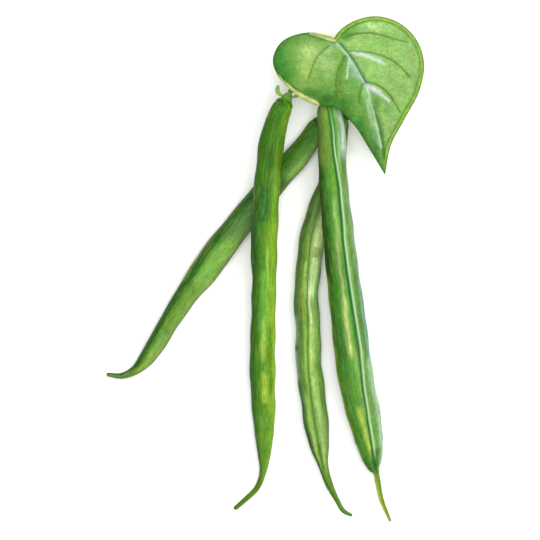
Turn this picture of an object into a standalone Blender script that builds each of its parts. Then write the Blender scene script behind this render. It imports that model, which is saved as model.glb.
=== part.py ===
"""A picked cluster of green beans, lying on a flat surface.

Four pods hang from one short stalk, each in its own small calyx, and one
heart-shaped leaf on its own stalk lies over the stems. Metres, +Z up. The
origin is at the bottom centre of the whole cluster, the pods point to -Y.
"""

from math import pi, radians

import bmesh
import bpy
import numpy as np

# Each pod's middle line from the neck to the tip of the beak, as
# (x, y, height of the middle, width) at the places where it bends or swells.
LEFT_LINE = (
    (0.0075, 0.0617, 0.0132, 0.0070),
    (0.0051, 0.0567, 0.0133, 0.0076),
    (0.0028, 0.0495, 0.0133, 0.0087),
    (0.0009, 0.0376, 0.0131, 0.0088),
    (-0.0001, 0.0236, 0.0125, 0.0093),
    (-0.0007, 0.0124, 0.0112, 0.0095),
    (-0.0007, -0.0049, 0.0091, 0.0085),
    (-0.0012, -0.0236, 0.0068, 0.0087),
    (-0.0013, -0.0355, 0.0050, 0.0090),
    (-0.0010, -0.0477, 0.0032, 0.0083),
    (-0.0007, -0.0585, 0.0028, 0.0069),
    (-0.0007, -0.0671, 0.0026, 0.0045),
    (-0.0011, -0.0725, 0.0025, 0.0026),
    (-0.0034, -0.0787, 0.0024, 0.0020),
    (-0.0068, -0.0821, 0.0022, 0.0018),
    (-0.0115, -0.0862, 0.0020, 0.0015),
)
SLANTING_LINE = (
    (0.0207, 0.0545, 0.0056, 0.0060),
    (0.0189, 0.0520, 0.0050, 0.0070),
    (0.0157, 0.0470, 0.0044, 0.0077),
    (0.0116, 0.0414, 0.0041, 0.0086),
    (0.0052, 0.0342, 0.0041, 0.0090),
    (-0.0027, 0.0250, 0.0041, 0.0094),
    (-0.0106, 0.0153, 0.0041, 0.0095),
    (-0.0185, 0.0050, 0.0041, 0.0104),
    (-0.0225, -0.0007, 0.0041, 0.0101),
    (-0.0271, -0.0068, 0.0041, 0.0085),
    (-0.0346, -0.0182, 0.0038, 0.0070),
    (-0.0408, -0.0286, 0.0035, 0.0064),
    (-0.0439, -0.0329, 0.0033, 0.0052),
    (-0.0468, -0.0358, 0.0031, 0.0036),
    (-0.0520, -0.0381, 0.0030, 0.0022),
    (-0.0576, -0.0376, 0.0032, 0.0014),
)
MIDDLE_LINE = (
    (0.0272, 0.0567, 0.0048, 0.0055),
    (0.0266, 0.0524, 0.0044, 0.0063),
    (0.0256, 0.0473, 0.0042, 0.0074),
    (0.0247, 0.0412, 0.0041, 0.0083),
    (0.0232, 0.0308, 0.0041, 0.0088),
    (0.0194, 0.0211, 0.0041, 0.0090),
    (0.0166, 0.0103, 0.0039, 0.0091),
    (0.0153, 0.0005, 0.0036, 0.0086),
    (0.0144, -0.0103, 0.0039, 0.0086),
    (0.0151, -0.0200, 0.0039, 0.0087),
    (0.0154, -0.0344, 0.0035, 0.0090),
    (0.0171, -0.0470, 0.0038, 0.0089),
    (0.0184, -0.0578, 0.0037, 0.0083),
    (0.0194, -0.0643, 0.0032, 0.0067),
    (0.0203, -0.0693, 0.0029, 0.0041),
    (0.0232, -0.0783, 0.0026, 0.0026),
    (0.0256, -0.0830, 0.0025, 0.0018),
    (0.0279, -0.0868, 0.0024, 0.0016),
    (0.0311, -0.0886, 0.0026, 0.0011),
)
RIGHT_LINE = (
    (0.0220, 0.0617, 0.0129, 0.0074),
    (0.0226, 0.0572, 0.0129, 0.0087),
    (0.0236, 0.0509, 0.0129, 0.0095),
    (0.0238, 0.0394, 0.0129, 0.0099),
    (0.0244, 0.0286, 0.0126, 0.0103),
    (0.0257, 0.0164, 0.0114, 0.0108),
    (0.0275, -0.0009, 0.0096, 0.0115),
    (0.0297, -0.0182, 0.0077, 0.0123),
    (0.0315, -0.0340, 0.0059, 0.0126),
    (0.0333, -0.0441, 0.0049, 0.0123),
    (0.0353, -0.0527, 0.0041, 0.0117),
    (0.0365, -0.0585, 0.0038, 0.0106),
    (0.0376, -0.0643, 0.0034, 0.0089),
    (0.0384, -0.0689, 0.0032, 0.0066),
    (0.0389, -0.0712, 0.0031, 0.0045),
    (0.0396, -0.0728, 0.0031, 0.0025),
    (0.0402, -0.0760, 0.0030, 0.0021),
    (0.0413, -0.0819, 0.0028, 0.0018),
    (0.0448, -0.0907, 0.0026, 0.0010),
)

# Where the seam runs along each pod, as (share of the pod's length, degrees
# from the top towards the right-hand side).
LEFT_SEAM = ((0.0, 12), (1.0, 12))
SLANTING_SEAM = ((0.0, -50), (1.0, -50))
MIDDLE_SEAM = (
    (0.0, -9), (0.3, -9), (0.37, -3), (0.455, 7), (0.52, -2), (0.6, -3), (0.69, -10), (0.79, -6),
    (1.0, 0),
)
RIGHT_SEAM = (
    (0.0, 0), (0.055, 4), (0.105, 7), (0.16, 20), (0.21, 29), (0.27, 27), (0.33, 22), (0.5, 26),
    (0.585, 32), (0.62, 30), (0.68, 24), (0.76, 16), (1.0, 18),
)

# Shape of every pod. Its flatness is its height as a share of its width.
ROUND_FLATNESS = 0.86
BROAD_FLATNESS = 0.76
NECK_RADIUS = 0.0013
NECK_LENGTH = 0.0012
SHOULDER_LENGTH = 0.0035
SHOULDER_RING_SHARES = (0.0, 0.06, 0.2, 0.45, 0.75)
BODY_START_SHARE = 1.2
POD_RINGS = 50
POD_SIDES_FROM_SEAM = (0, 15, 36, 60, 84, 108, 132, 156, 180, 204, 228, 252, 276, 300, 324, 345)
FULL_RELIEF_WIDTH = 0.008
SEAM_RIDGE = 0.00018
SEAM_VALLEY = 0.00016
SEAM_RIDGE_ANGLE = radians(9)
SEAM_VALLEY_ANGLE = radians(26)
SEED_PITCH = 0.0135
SEED_SWELL = 0.00028
SEEDS_START = 0.012
SEEDS_END = 0.030
TIP_ROUNDING = 0.0008
TIP_RING_SHARES = (0.25, 0.0)
TIP_WIDTH_SHARES = (0.8, 0.4)

# Calyx: a cup round the neck with five teeth. Its outside is narrow above the
# base and bulges round the neck, given as (share of the outer radius, share of
# the base's or the rim's distance from the neck's start).
TOUCH_GAP = 0.0003
RIM_GAP = 0.00036
CUP_SIDES = 20
CUP_TEETH = 5
CUP_BASE = -0.0022
CUP_BASE_RADIUS = 0.00095
CUP_WALL = 0.0005
CUP_RIM = 0.0010
CUP_WAIST = (0.65, 0.62)
CUP_BULGE = (0.93, 0.2)
CUP_BELLY = (1.02, 0.35)
POCKET_MOUTH = 0.3
POCKET_FLOOR = 0.96
TOOTH_LENGTH = 0.0013
TOOTH_THINNING = 0.35

# Two small bracts on each calyx, as (reach to the side, dip towards the pod,
# rise along the stem, width of the blade). A negative reach is to the left.
WIDE_BRACTS = ((-0.0048, 0.0012, 0.0020, 0.0018), (0.0034, 0.0, 0.0036, 0.0014))
CLOSE_BRACTS = ((-0.0018, 0.0003, 0.0026, 0.0013), (0.0018, 0.0003, 0.0026, 0.0013))
BRACT_ROOT_DEPTH = 0.0010
BRACT_ROOT_WIDTH = 0.0008
BRACT_THICKNESS = 0.0007
BRACT_RING_STEP = 0.0009
BRACT_POINTS = 7
BRACT_START = 0.15
BRACT_LIFT = 0.0004
BRACT_BLADE_START = 0.35
BRACT_BLADE_END = 1.12
BRACT_BLADE_TAPER = 0.3

# Stalk, as (x, y, height, width) from its lowest fork to its cut end, and the
# stems that leave it, which each run on to the calyx of their pod.
STALK_LINE = (
    (0.0247, 0.0617, 0.0078, 0.0026),
    (0.0254, 0.0653, 0.0093, 0.0027),
    (0.0263, 0.0697, 0.0106, 0.0027),
    (0.0275, 0.0740, 0.0114, 0.0028),
    (0.0292, 0.0776, 0.0120, 0.0029),
    (0.0301, 0.0792, 0.0122, 0.0029),
)
LEFT_STEM = (
    (0.0266, 0.0712, 0.0109, 0.0020),
    (0.0196, 0.0707, 0.0129, 0.0017),
    (0.0135, 0.0693, 0.0139, 0.0016),
    (0.0099, 0.0665, 0.0136, 0.0015),
)
SLANTING_STEM = (
    (0.0252, 0.0640, 0.0088, 0.0020),
    (0.0246, 0.0615, 0.0079, 0.0017),
    (0.0234, 0.0589, 0.0069, 0.0015),
)
MIDDLE_STEM = (
    (0.0256, 0.0660, 0.0095, 0.0020),
    (0.0269, 0.0633, 0.0074, 0.0017),
    (0.0276, 0.0609, 0.0055, 0.0015),
)
RIGHT_STEM = (
    (0.0264, 0.0702, 0.0107, 0.0020),
    (0.0239, 0.0689, 0.0121, 0.0017),
    (0.0222, 0.0665, 0.0128, 0.0015),
)
STEM_SIDES = 8
STEM_RING_STEP = 0.0013
STEM_END_WIDTH = 0.0016
FEWEST_STEM_RINGS = 4

# Leaf stalk, with its swollen joint under the leaf.
LEAF_STALK_LINE = (
    (0.0288, 0.0741, 0.0138, 0.0020),
    (0.0284, 0.0757, 0.0149, 0.0018),
    (0.0270, 0.0777, 0.0165, 0.0018),
    (0.0262, 0.0792, 0.0178, 0.0024),
    (0.0257, 0.0801, 0.0185, 0.0024),
)

# Leaf: its two margins from the notch to the tip as (x, y, height), and the
# midrib between the same two ends.
RIGHT_MARGIN = (
    (0.0245, 0.0832, 0.0206),
    (0.0272, 0.0866, 0.0206),
    (0.0315, 0.0894, 0.0202),
    (0.0391, 0.0912, 0.0190),
    (0.0476, 0.0890, 0.0168),
    (0.0545, 0.0823, 0.0146),
    (0.0569, 0.0747, 0.0132),
    (0.0553, 0.0646, 0.0122),
    (0.0499, 0.0542, 0.0108),
    (0.0450, 0.0448, 0.0078),
    (0.0429, 0.0340, 0.0034),
)
LEFT_MARGIN = (
    (0.0245, 0.0832, 0.0206),
    (0.0185, 0.0844, 0.0206),
    (0.0113, 0.0847, 0.0200),
    (0.0049, 0.0814, 0.0186),
    (0.0023, 0.0751, 0.0174),
    (0.0041, 0.0697, 0.0170),
    (0.0077, 0.0655, 0.0172),
    (0.0178, 0.0591, 0.0182),
    (0.0243, 0.0584, 0.0184),
    (0.0311, 0.0525, 0.0150),
    (0.0370, 0.0437, 0.0088),
    (0.0429, 0.0340, 0.0034),
)
MIDRIB = (
    (0.0245, 0.0832, 0.0206),
    (0.0298, 0.0764, 0.0212),
    (0.0352, 0.0672, 0.0206),
    (0.0393, 0.0578, 0.0176),
    (0.0418, 0.0454, 0.0108),
    (0.0429, 0.0340, 0.0034),
)

# Leaf blade. The veins are given as shares of the margin's length.
LEAF_THICKNESS = 0.0008
LEAF_ROWS = 28
LEAF_LOBE_ROWS = 10
LEAF_COLUMNS = 8
MIDRIB_SPACING_POWER = 2.3
RIGHT_LOBE_SHARE = 0.30
LEFT_LOBE_SHARE = 0.40
RIGHT_VEINS = (0.425, 0.60, 0.75)
LEFT_VEINS = (0.55, 0.679, 0.786, 0.893)
VEIN_BOW = 0.0028
VEIN_DEPTH = 0.0007
VEIN_HALF_SHARE = 0.026
MIDRIB_DEPTH = 0.0008
MIDRIB_HALF_WIDTH = 0.0016
BLADE_ARCH = 0.0022
FULL_BLADE_WIDTH = 0.020
SAME_POINT = 0.00002

# Colours as linear red, green and blue, and how rough each skin is.
POD_COLOUR = (0.075, 0.22, 0.03)
POD_ROUGHNESS = 0.42
CALYX_COLOUR = (0.16, 0.36, 0.06)
CALYX_ROUGHNESS = 0.6
STALK_COLOUR = (0.18, 0.36, 0.07)
STALK_ROUGHNESS = 0.55
LEAF_COLOUR = (0.13, 0.34, 0.07)
LEAF_ROUGHNESS = 0.6

# Edges sharper than this stay hard in the shading.
SMOOTH_ANGLE = radians(50)
FRAME_POINTS = 400


def clear_scene():
    """Remove every object of the scene that the script starts in."""
    for item in list(bpy.data.objects):
        bpy.data.objects.remove(item, do_unlink=True)


def make_material(name, colour, roughness):
    """Return a plain material of one colour."""
    material = bpy.data.materials.new(name)
    material.use_nodes = True
    shader = material.node_tree.nodes["Principled BSDF"]
    shader.inputs["Base Color"].default_value = (*colour, 1.0)
    shader.inputs["Roughness"].default_value = roughness
    shader.inputs["Metallic"].default_value = 0.0
    return material


def pod_skin():
    """Smooth green skin of the pods."""
    return make_material("pod_skin", POD_COLOUR, POD_ROUGHNESS)


def calyx_green():
    """Pale green of the calyx cups."""
    return make_material("calyx_green", CALYX_COLOUR, CALYX_ROUGHNESS)


def stalk_green():
    """Light green of the stalk and the leaf stalk."""
    return make_material("stalk_green", STALK_COLOUR, STALK_ROUGHNESS)


def leaf_green():
    """Dull green of the leaf blade."""
    return make_material("leaf_green", LEAF_COLOUR, LEAF_ROUGHNESS)


def curve_through(stations):
    """Return a function that reads a smooth curve through the stations.

    The curve is a cubic between each pair of stations, with the slopes of the
    neighbouring chords, and is read at distances along the chords.
    """
    points = np.array(stations)
    steps = np.linalg.norm(np.diff(points[:, :3], axis=0), axis=1)
    knots = np.concatenate(([0.0], np.cumsum(steps)))
    slopes = np.gradient(points, knots, axis=0)

    def read(distances):
        spans = np.clip(np.searchsorted(knots, distances, side="right") - 1, 0, len(knots) - 2)
        length = (knots[spans + 1] - knots[spans])[:, None]
        t = (distances - knots[spans])[:, None] / length
        start = (1 + 2 * t) * (1 - t) ** 2 * points[spans]
        end = t * t * (3 - 2 * t) * points[spans + 1]
        start_slope = t * (1 - t) ** 2 * length * slopes[spans]
        end_slope = t * t * (t - 1) * length * slopes[spans + 1]
        return start + end + start_slope + end_slope

    return read, knots[-1]


def frames_along(line):
    """Return the direction, the level side and the upright at each point."""
    along = np.gradient(line, axis=0)
    along /= np.linalg.norm(along, axis=1)[:, None]
    side = np.stack((-along[:, 1], along[:, 0], np.zeros(len(along))), axis=1)
    side /= np.linalg.norm(side, axis=1)[:, None]
    upright = np.cross(along, side)
    return along, side, upright


def mesh_object(name, bm, material):
    """Turn a bmesh into a smooth-shaded object of the scene."""
    bmesh.ops.recalc_face_normals(bm, faces=bm.faces)
    mesh = bpy.data.meshes.new(name)
    bm.to_mesh(mesh)
    bm.free()
    mesh.materials.append(material)
    mesh.shade_smooth()
    mesh.set_sharp_from_angle(angle=SMOOTH_ANGLE)
    made = bpy.data.objects.new(name, mesh)
    bpy.context.scene.collection.objects.link(made)
    return made


def loft(name, rings, material):
    """Skin an array of rings (ring, side, xyz) and close both ends."""
    bm = bmesh.new()
    loops = [[bm.verts.new(point) for point in ring] for ring in rings]
    for lower, upper in zip(loops, loops[1:]):
        count = len(lower)
        for i in range(count):
            j = (i + 1) % count
            bm.faces.new((lower[i], lower[j], upper[j], upper[i]))
    bm.faces.new(reversed(loops[0]))
    bm.faces.new(loops[-1])
    return mesh_object(name, bm, material)


def tube(name, stations, ring_step, material, thickness=None):
    """Loft a stem through stations of (x, y, z, width).

    With a thickness, the section is a flat oval of that height.
    """
    read, length = curve_through(stations)
    count = max(FEWEST_STEM_RINGS, int(round(length / ring_step)) + 1)
    line = read(np.linspace(0, length, count))
    along, side, upright = frames_along(line[:, :3])
    turns = np.arange(STEM_SIDES) * 2 * pi / STEM_SIDES
    half_width = line[:, 3] / 2
    half_height = half_width if thickness is None else np.minimum(half_width, thickness / 2)
    rings = (
        line[:, None, :3]
        + side[:, None, :] * (half_width[:, None] * np.sin(turns))[:, :, None]
        + upright[:, None, :] * (half_height[:, None] * np.cos(turns))[:, :, None]
    )
    return loft(name, rings, material)


def fuse(name, pieces):
    """Join overlapping pieces into one closed body with one union."""
    body = pieces[0]
    group = bpy.data.collections.new(name + "_pieces")
    bpy.context.scene.collection.children.link(group)
    for piece in pieces[1:]:
        bpy.context.scene.collection.objects.unlink(piece)
        group.objects.link(piece)
    union = body.modifiers.new("union", "BOOLEAN")
    union.operation = "UNION"
    union.operand_type = "COLLECTION"
    union.collection = group
    union.solver = "EXACT"
    graph = bpy.context.evaluated_depsgraph_get()
    joined = bpy.data.meshes.new_from_object(body.evaluated_get(graph))
    body.modifiers.clear()
    body.data = joined
    body.name = name
    for piece in pieces[1:]:
        bpy.data.objects.remove(piece, do_unlink=True)
    bpy.data.collections.remove(group)
    return body


def shoulder(distance):
    """How far the pod has swollen from its neck to its full width, 0 to 1."""
    run = np.clip((distance - NECK_LENGTH) / SHOULDER_LENGTH, 0, 1)
    return np.sqrt(1 - (1 - run) ** 2)


def ring_places(length):
    """Distances of the pod's rings: close together on the shoulder and tip."""
    shoulder_rings = NECK_LENGTH + SHOULDER_LENGTH * np.array(SHOULDER_RING_SHARES)
    body_start = NECK_LENGTH + SHOULDER_LENGTH * BODY_START_SHARE
    body = np.linspace(body_start, length - TIP_ROUNDING, POD_RINGS)
    tip = length - TIP_ROUNDING * np.array(TIP_RING_SHARES)
    return np.concatenate(([0.0], shoulder_rings, body, tip))


def seed_wave(places, length):
    """Swell over each seed, 0 to 1, along the part of the pod with seeds."""
    run = (places - SEEDS_START) / SEED_PITCH
    wave = 0.5 - 0.5 * np.cos(2 * pi * run)
    inside = (places > SEEDS_START) & (places < length - SEEDS_END)
    return np.where(inside, wave, 0.0)


def seam_relief(turn):
    """Height of the seam's fine ridge in its shallow valley."""
    off = np.minimum(turn, 2 * pi - turn)
    ridge = SEAM_RIDGE * np.exp(-((off / SEAM_RIDGE_ANGLE) ** 2))
    valley = SEAM_VALLEY * np.exp(-((off / SEAM_VALLEY_ANGLE) ** 2))
    return ridge - valley


def pod(name, stations, flatness, seam, material):
    """Loft one pod with its neck, seed bulges, seam and beak.

    The section is an oval of the given flatness, turned so that its seam
    follows the seam's own line. What would reach below the surface is pressed
    flat on it.
    """
    read, length = curve_through(stations)
    places = ring_places(length)
    line = read(places)
    along, side, upright = frames_along(line[:, :3])
    swell = shoulder(places)
    half_width = NECK_RADIUS + (line[:, 3] / 2 - NECK_RADIUS) * swell
    half_width[-len(TIP_WIDTH_SHARES):] *= TIP_WIDTH_SHARES
    half_height = half_width * (1 - (1 - flatness) * swell)
    turns = np.radians(POD_SIDES_FROM_SEAM)
    girth = np.clip(line[:, 3] / FULL_RELIEF_WIDTH, 0, 1) * swell
    relief = seam_relief(turns)[None, :] * girth[:, None]
    relief = relief + SEED_SWELL * seed_wave(places, length)[:, None] * np.sin(turns)[None, :] ** 2
    seam_shares, seam_degrees = zip(*seam)
    seam_turn = np.radians(np.interp(places / length, seam_shares, seam_degrees))
    angle = turns[None, :] + seam_turn[:, None]
    rings = (
        line[:, None, :3]
        + side[:, None, :] * ((half_width[:, None] + relief) * np.sin(angle))[:, :, None]
        + upright[:, None, :] * ((half_height[:, None] + relief) * np.cos(angle))[:, :, None]
    )
    rings[:, :, 2] = np.maximum(rings[:, :, 2], 0.0)
    return loft(name, rings, material)


def neck_frame(stations):
    """Return the neck's start, and its direction into the pod, side and upright."""
    read, length = curve_through(stations)
    line = read(np.linspace(0, length, FRAME_POINTS))[:, :3]
    along, side, upright = frames_along(line)
    return line[0], along[0], side[0], upright[0]


def cup_section(body_width):
    """Return the cup's rings of (radius, distance into the pod) round its turns.

    The outer wall runs from the base up to the teeth, and the inner wall back
    down to the floor of the pocket that the neck sits in.
    """
    turns = np.arange(CUP_SIDES) * 2 * pi / CUP_SIDES
    tooth = 1 - np.abs(((turns * CUP_TEETH / pi) % 2) - 1)
    rim = CUP_RIM + TOOTH_LENGTH * tooth
    pod_radius = NECK_RADIUS + (body_width / 2 - NECK_RADIUS) * shoulder(rim)
    inner = pod_radius + RIM_GAP
    wall = CUP_WALL * (1 - TOOTH_THINNING * tooth)
    pocket = NECK_RADIUS + TOUCH_GAP
    outside = pocket + CUP_WALL
    even = np.ones(CUP_SIDES)
    rings = (
        (CUP_BASE_RADIUS * even, CUP_BASE * even),
        (CUP_WAIST[0] * outside * even, CUP_WAIST[1] * CUP_BASE * even),
        (CUP_BULGE[0] * outside * even, CUP_BULGE[1] * CUP_BASE * even),
        (CUP_BELLY[0] * outside * even, CUP_BELLY[1] * CUP_RIM * even),
        (inner + wall, rim),
        (inner, rim),
        (pocket * even, POCKET_MOUTH * CUP_RIM * even),
        (POCKET_FLOOR * pocket * even, -TOUCH_GAP * even),
    )
    return turns, rings


def bract(name, frame, reach, dip, rise, blade_width, material):
    """Sweep one small bract out of the cup's base and up beside the stem.

    It runs out to the side by reach, dips towards the pod and then rises
    along the stem. Its blade widens past its root and narrows at its end.
    """
    start, into_pod, side, upright = frame
    run = np.linspace(BRACT_START, 1, BRACT_POINTS)
    out = reach * np.sin(run * pi / 2)
    back = rise * run ** 2 - dip * np.sin(pi * run)
    line = start - into_pod * (BRACT_ROOT_DEPTH + back)[:, None] + side * out[:, None]
    line = line + upright * (BRACT_LIFT * np.sin(pi * run))[:, None]
    widening = np.clip((run - BRACT_BLADE_START) / BRACT_BLADE_TAPER, 0, 1)
    leafy = widening * np.clip((BRACT_BLADE_END - run) / BRACT_BLADE_TAPER, 0, 1)
    width = BRACT_ROOT_WIDTH + (blade_width - BRACT_ROOT_WIDTH) * leafy
    stations = np.concatenate((line, width[:, None]), axis=1)
    return tube(name, stations, BRACT_RING_STEP, material, BRACT_THICKNESS)


def calyx(name, stations, bracts, material):
    """Build one calyx round a pod's neck, with its bracts fused on."""
    frame = neck_frame(stations)
    start, into_pod, side, upright = frame
    turns, section = cup_section(stations[0][3])
    rings = []
    for radius, height in section:
        ring = (
            start
            + into_pod * height[:, None]
            + side * (radius * np.sin(turns))[:, None]
            + upright * (radius * np.cos(turns))[:, None]
        )
        rings.append(ring)
    pieces = [loft(name, np.array(rings), material)]
    for number, (reach, dip, rise, blade_width) in enumerate(bracts):
        pieces.append(bract(f"{name}_bract_{number}", frame, reach, dip, rise, blade_width, material))
    return fuse(name, pieces)


def stem_to(stations, pod_line):
    """Carry a stem on to just short of the calyx of its pod."""
    start, into_pod, side, upright = neck_frame(pod_line)
    end = start + into_pod * (CUP_BASE - TOUCH_GAP)
    return stations + ((*end, STEM_END_WIDTH),)


def stalk(material):
    """Build the stalk with the four stems that run to the pods."""
    pieces = [tube("stalk_main", STALK_LINE, STEM_RING_STEP, material)]
    stems = (
        (LEFT_STEM, LEFT_LINE),
        (SLANTING_STEM, SLANTING_LINE),
        (MIDDLE_STEM, MIDDLE_LINE),
        (RIGHT_STEM, RIGHT_LINE),
    )
    for number, (stations, pod_line) in enumerate(stems):
        pieces.append(tube(f"stem_{number}", stem_to(stations, pod_line), STEM_RING_STEP, material))
    return fuse("stalk", pieces)


def half_blade(margin, lobe_share, veins, bow_side):
    """Return one half of the leaf's upper face as rows from midrib to margin.

    The first rows fan out from the notch over the lobe, the others leave the
    midrib further and further down. Each row bows away from the tip. The
    blade arches between midrib and margin and sinks along its veins.
    """
    read_margin, margin_length = curve_through(margin)
    read_midrib, midrib_length = curve_through(MIDRIB)
    lobe = np.linspace(0, lobe_share, LEAF_LOBE_ROWS, endpoint=False)
    row = np.concatenate((lobe * 0, np.linspace(0, 1, LEAF_ROWS + 1)))
    share = np.concatenate((lobe, lobe_share + (1 - lobe_share) * row[LEAF_LOBE_ROWS:]))
    inner = read_midrib(row ** MIDRIB_SPACING_POWER * midrib_length)
    outer = read_margin(share * margin_length)
    t = np.linspace(0, 1, LEAF_COLUMNS + 1)
    hump = 4 * t * (1 - t)
    across = outer - inner
    width = np.linalg.norm(across[:, :2], axis=1)
    square = np.stack((across[:, 1], -across[:, 0], np.zeros(len(across))), axis=1)
    square /= np.maximum(width, SAME_POINT)[:, None]
    fade = np.sqrt(np.abs(np.sin(pi * share)))
    size = np.clip(width / FULL_BLADE_WIDTH, 0, 1)
    bow = bow_side * VEIN_BOW * fade * size
    rows = inner[:, None, :] + across[:, None, :] * t[None, :, None]
    rows += square[:, None, :] * (bow[:, None] * hump)[:, :, None]
    near_vein = np.min(np.abs(share[:, None] - np.array(veins)[None, :]), axis=1)
    groove = np.exp(-((near_vein / VEIN_HALF_SHARE) ** 2))
    arch = BLADE_ARCH * size[:, None] * hump
    sunk = VEIN_DEPTH * (groove * size)[:, None] * np.sin(pi * t) ** 0.5
    off_midrib = width[:, None] * t / MIDRIB_HALF_WIDTH
    rib = MIDRIB_DEPTH * np.sqrt(np.abs(np.sin(pi * row)))[:, None] * np.exp(-(off_midrib ** 2))
    rows[:, :, 2] += arch - sunk - rib
    return rows


def blade_face(halves):
    """Return a bmesh of the leaf's upper face, with its faces looking up."""
    bm = bmesh.new()
    for rows in halves:
        grid = [[bm.verts.new(point) for point in row] for row in rows]
        for upper, lower in zip(grid, grid[1:]):
            for i in range(LEAF_COLUMNS):
                bm.faces.new((upper[i], upper[i + 1], lower[i + 1], lower[i]))
    bmesh.ops.remove_doubles(bm, verts=bm.verts, dist=SAME_POINT)
    bmesh.ops.triangulate(bm, faces=bm.faces)
    bmesh.ops.recalc_face_normals(bm, faces=bm.faces)
    bm.normal_update()
    if sum(face.normal.z for face in bm.faces) < 0:
        bmesh.ops.reverse_faces(bm, faces=bm.faces)
    return bm


def leaf(material):
    """Build the leaf blade: both halves joined at the midrib, one thickness."""
    right = half_blade(RIGHT_MARGIN, RIGHT_LOBE_SHARE, RIGHT_VEINS, -1)
    left = half_blade(LEFT_MARGIN, LEFT_LOBE_SHARE, LEFT_VEINS, 1)
    bm = blade_face((right, left))
    mesh = bpy.data.meshes.new("leaf")
    bm.to_mesh(mesh)
    bm.free()
    mesh.materials.append(material)
    mesh.shade_smooth()
    mesh.set_sharp_from_angle(angle=SMOOTH_ANGLE)
    blade = bpy.data.objects.new("leaf", mesh)
    bpy.context.scene.collection.objects.link(blade)
    wall = blade.modifiers.new("thickness", "SOLIDIFY")
    wall.thickness = LEAF_THICKNESS
    wall.offset = -1.0
    return blade


def main():
    """Build the whole cluster."""
    clear_scene()
    skin = pod_skin()
    cup = calyx_green()
    stem = stalk_green()
    pods = (
        ("left", LEFT_LINE, ROUND_FLATNESS, LEFT_SEAM, WIDE_BRACTS),
        ("slanting", SLANTING_LINE, ROUND_FLATNESS, SLANTING_SEAM, CLOSE_BRACTS),
        ("middle", MIDDLE_LINE, ROUND_FLATNESS, MIDDLE_SEAM, CLOSE_BRACTS),
        ("right", RIGHT_LINE, BROAD_FLATNESS, RIGHT_SEAM, CLOSE_BRACTS),
    )
    for place, line, flatness, seam, bracts in pods:
        pod("pod_" + place, line, flatness, seam, skin)
        calyx("calyx_" + place, line, bracts, cup)
    stalk(stem)
    tube("leaf_stalk", LEAF_STALK_LINE, STEM_RING_STEP, stem)
    leaf(leaf_green())


main()
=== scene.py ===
"""Looks of a picked cluster of green beans with one leaf, seen from above.

Four pods, their calyxes, the stalk, the leaf stalk and the leaf are rebuilt as
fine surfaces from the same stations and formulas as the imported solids, and
each piece replaces its own solid. Lengths are metres unless a name or its
description says mm.
"""
import logging
import math
from dataclasses import dataclass, field
from enum import Enum

import bpy
import numpy as np
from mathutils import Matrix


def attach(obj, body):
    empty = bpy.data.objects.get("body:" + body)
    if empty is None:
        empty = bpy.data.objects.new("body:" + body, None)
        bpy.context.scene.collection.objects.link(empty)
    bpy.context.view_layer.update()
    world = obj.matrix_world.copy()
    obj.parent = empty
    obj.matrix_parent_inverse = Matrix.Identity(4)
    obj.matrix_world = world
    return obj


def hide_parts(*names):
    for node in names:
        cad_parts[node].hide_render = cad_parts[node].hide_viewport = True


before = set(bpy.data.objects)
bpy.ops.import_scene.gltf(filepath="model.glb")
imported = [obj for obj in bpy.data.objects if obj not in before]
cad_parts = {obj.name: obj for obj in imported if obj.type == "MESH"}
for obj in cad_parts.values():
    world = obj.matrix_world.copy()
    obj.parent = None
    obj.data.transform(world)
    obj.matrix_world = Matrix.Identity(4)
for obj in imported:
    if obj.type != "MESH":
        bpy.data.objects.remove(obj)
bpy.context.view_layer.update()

MM = 0.001
SEED = 7
# How much brighter the studio shows a skin than the skin's own colour is.
STUDIO_LIFT = 1.62
# White that the sheen adds to every skin, in linear light.
SHEEN = 0.006
# Least light of any skin, so that none is quite black.
DARKEST = 0.001
# How steeply the ends of a stripe on a pod fade in.
STRIPE_END = 2.5
# Points at which a pod is read to find the direction of its neck, and a stroke to draw it.
NECK_READINGS = 400
STROKE_READINGS = 24
# For each number of values at a point: the attribute's type, and what its data is called.
ATTRIBUTE_KINDS = {1: ("FLOAT", "value"), 3: ("FLOAT_VECTOR", "vector"), 4: ("FLOAT_COLOR", "color")}

logging.basicConfig(level=logging.INFO, format="%(name)s: %(message)s")
log = logging.getLogger("green_bean")

Stations = tuple[tuple[float, ...], ...]


class Hand(Enum):
    """Which half of the leaf is meant, as the side of the midrib."""

    LEFT = -1
    RIGHT = 1


class Skin(Enum):
    """Names of the material slots, one for each kind of piece."""

    POD = "pod_skin"
    CALYX = "calyx"
    STALK = "stalk"
    BLADE = "leaf_blade"


def linear_colour(code: str) -> tuple[float, float, float, float]:
    """Turn an sRGB hex colour into linear light.

    Args:
        code: Colour as six hex digits, such as "4f8a2c".

    Returns:
        Red, green, blue and alpha 1, each from 0 to 1.
    """
    parts = [int(code[i:i + 2], 16) / 255 for i in (0, 2, 4)]
    light = [p / 12.92 if p <= 0.04045 else ((p + 0.055) / 1.055) ** 2.4 for p in parts]
    return light[0], light[1], light[2], 1.0


def skin_colour(code: str) -> tuple[float, float, float, float]:
    """Turn the colour that a skin shows in the bright studio into its own colour.

    The studio is lit so that the paper is pure white, which lifts every skin
    by the same factor, and the skin's sheen adds a little white.

    Args:
        code: Colour as seen in the picture, as six hex digits.

    Returns:
        Linear red, green and blue, darker by both, and alpha 1.
    """
    red, green, blue = (max(part / STUDIO_LIFT - SHEEN, DARKEST) for part in linear_colour(code)[:3])
    return red, green, blue, 1.0


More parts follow.
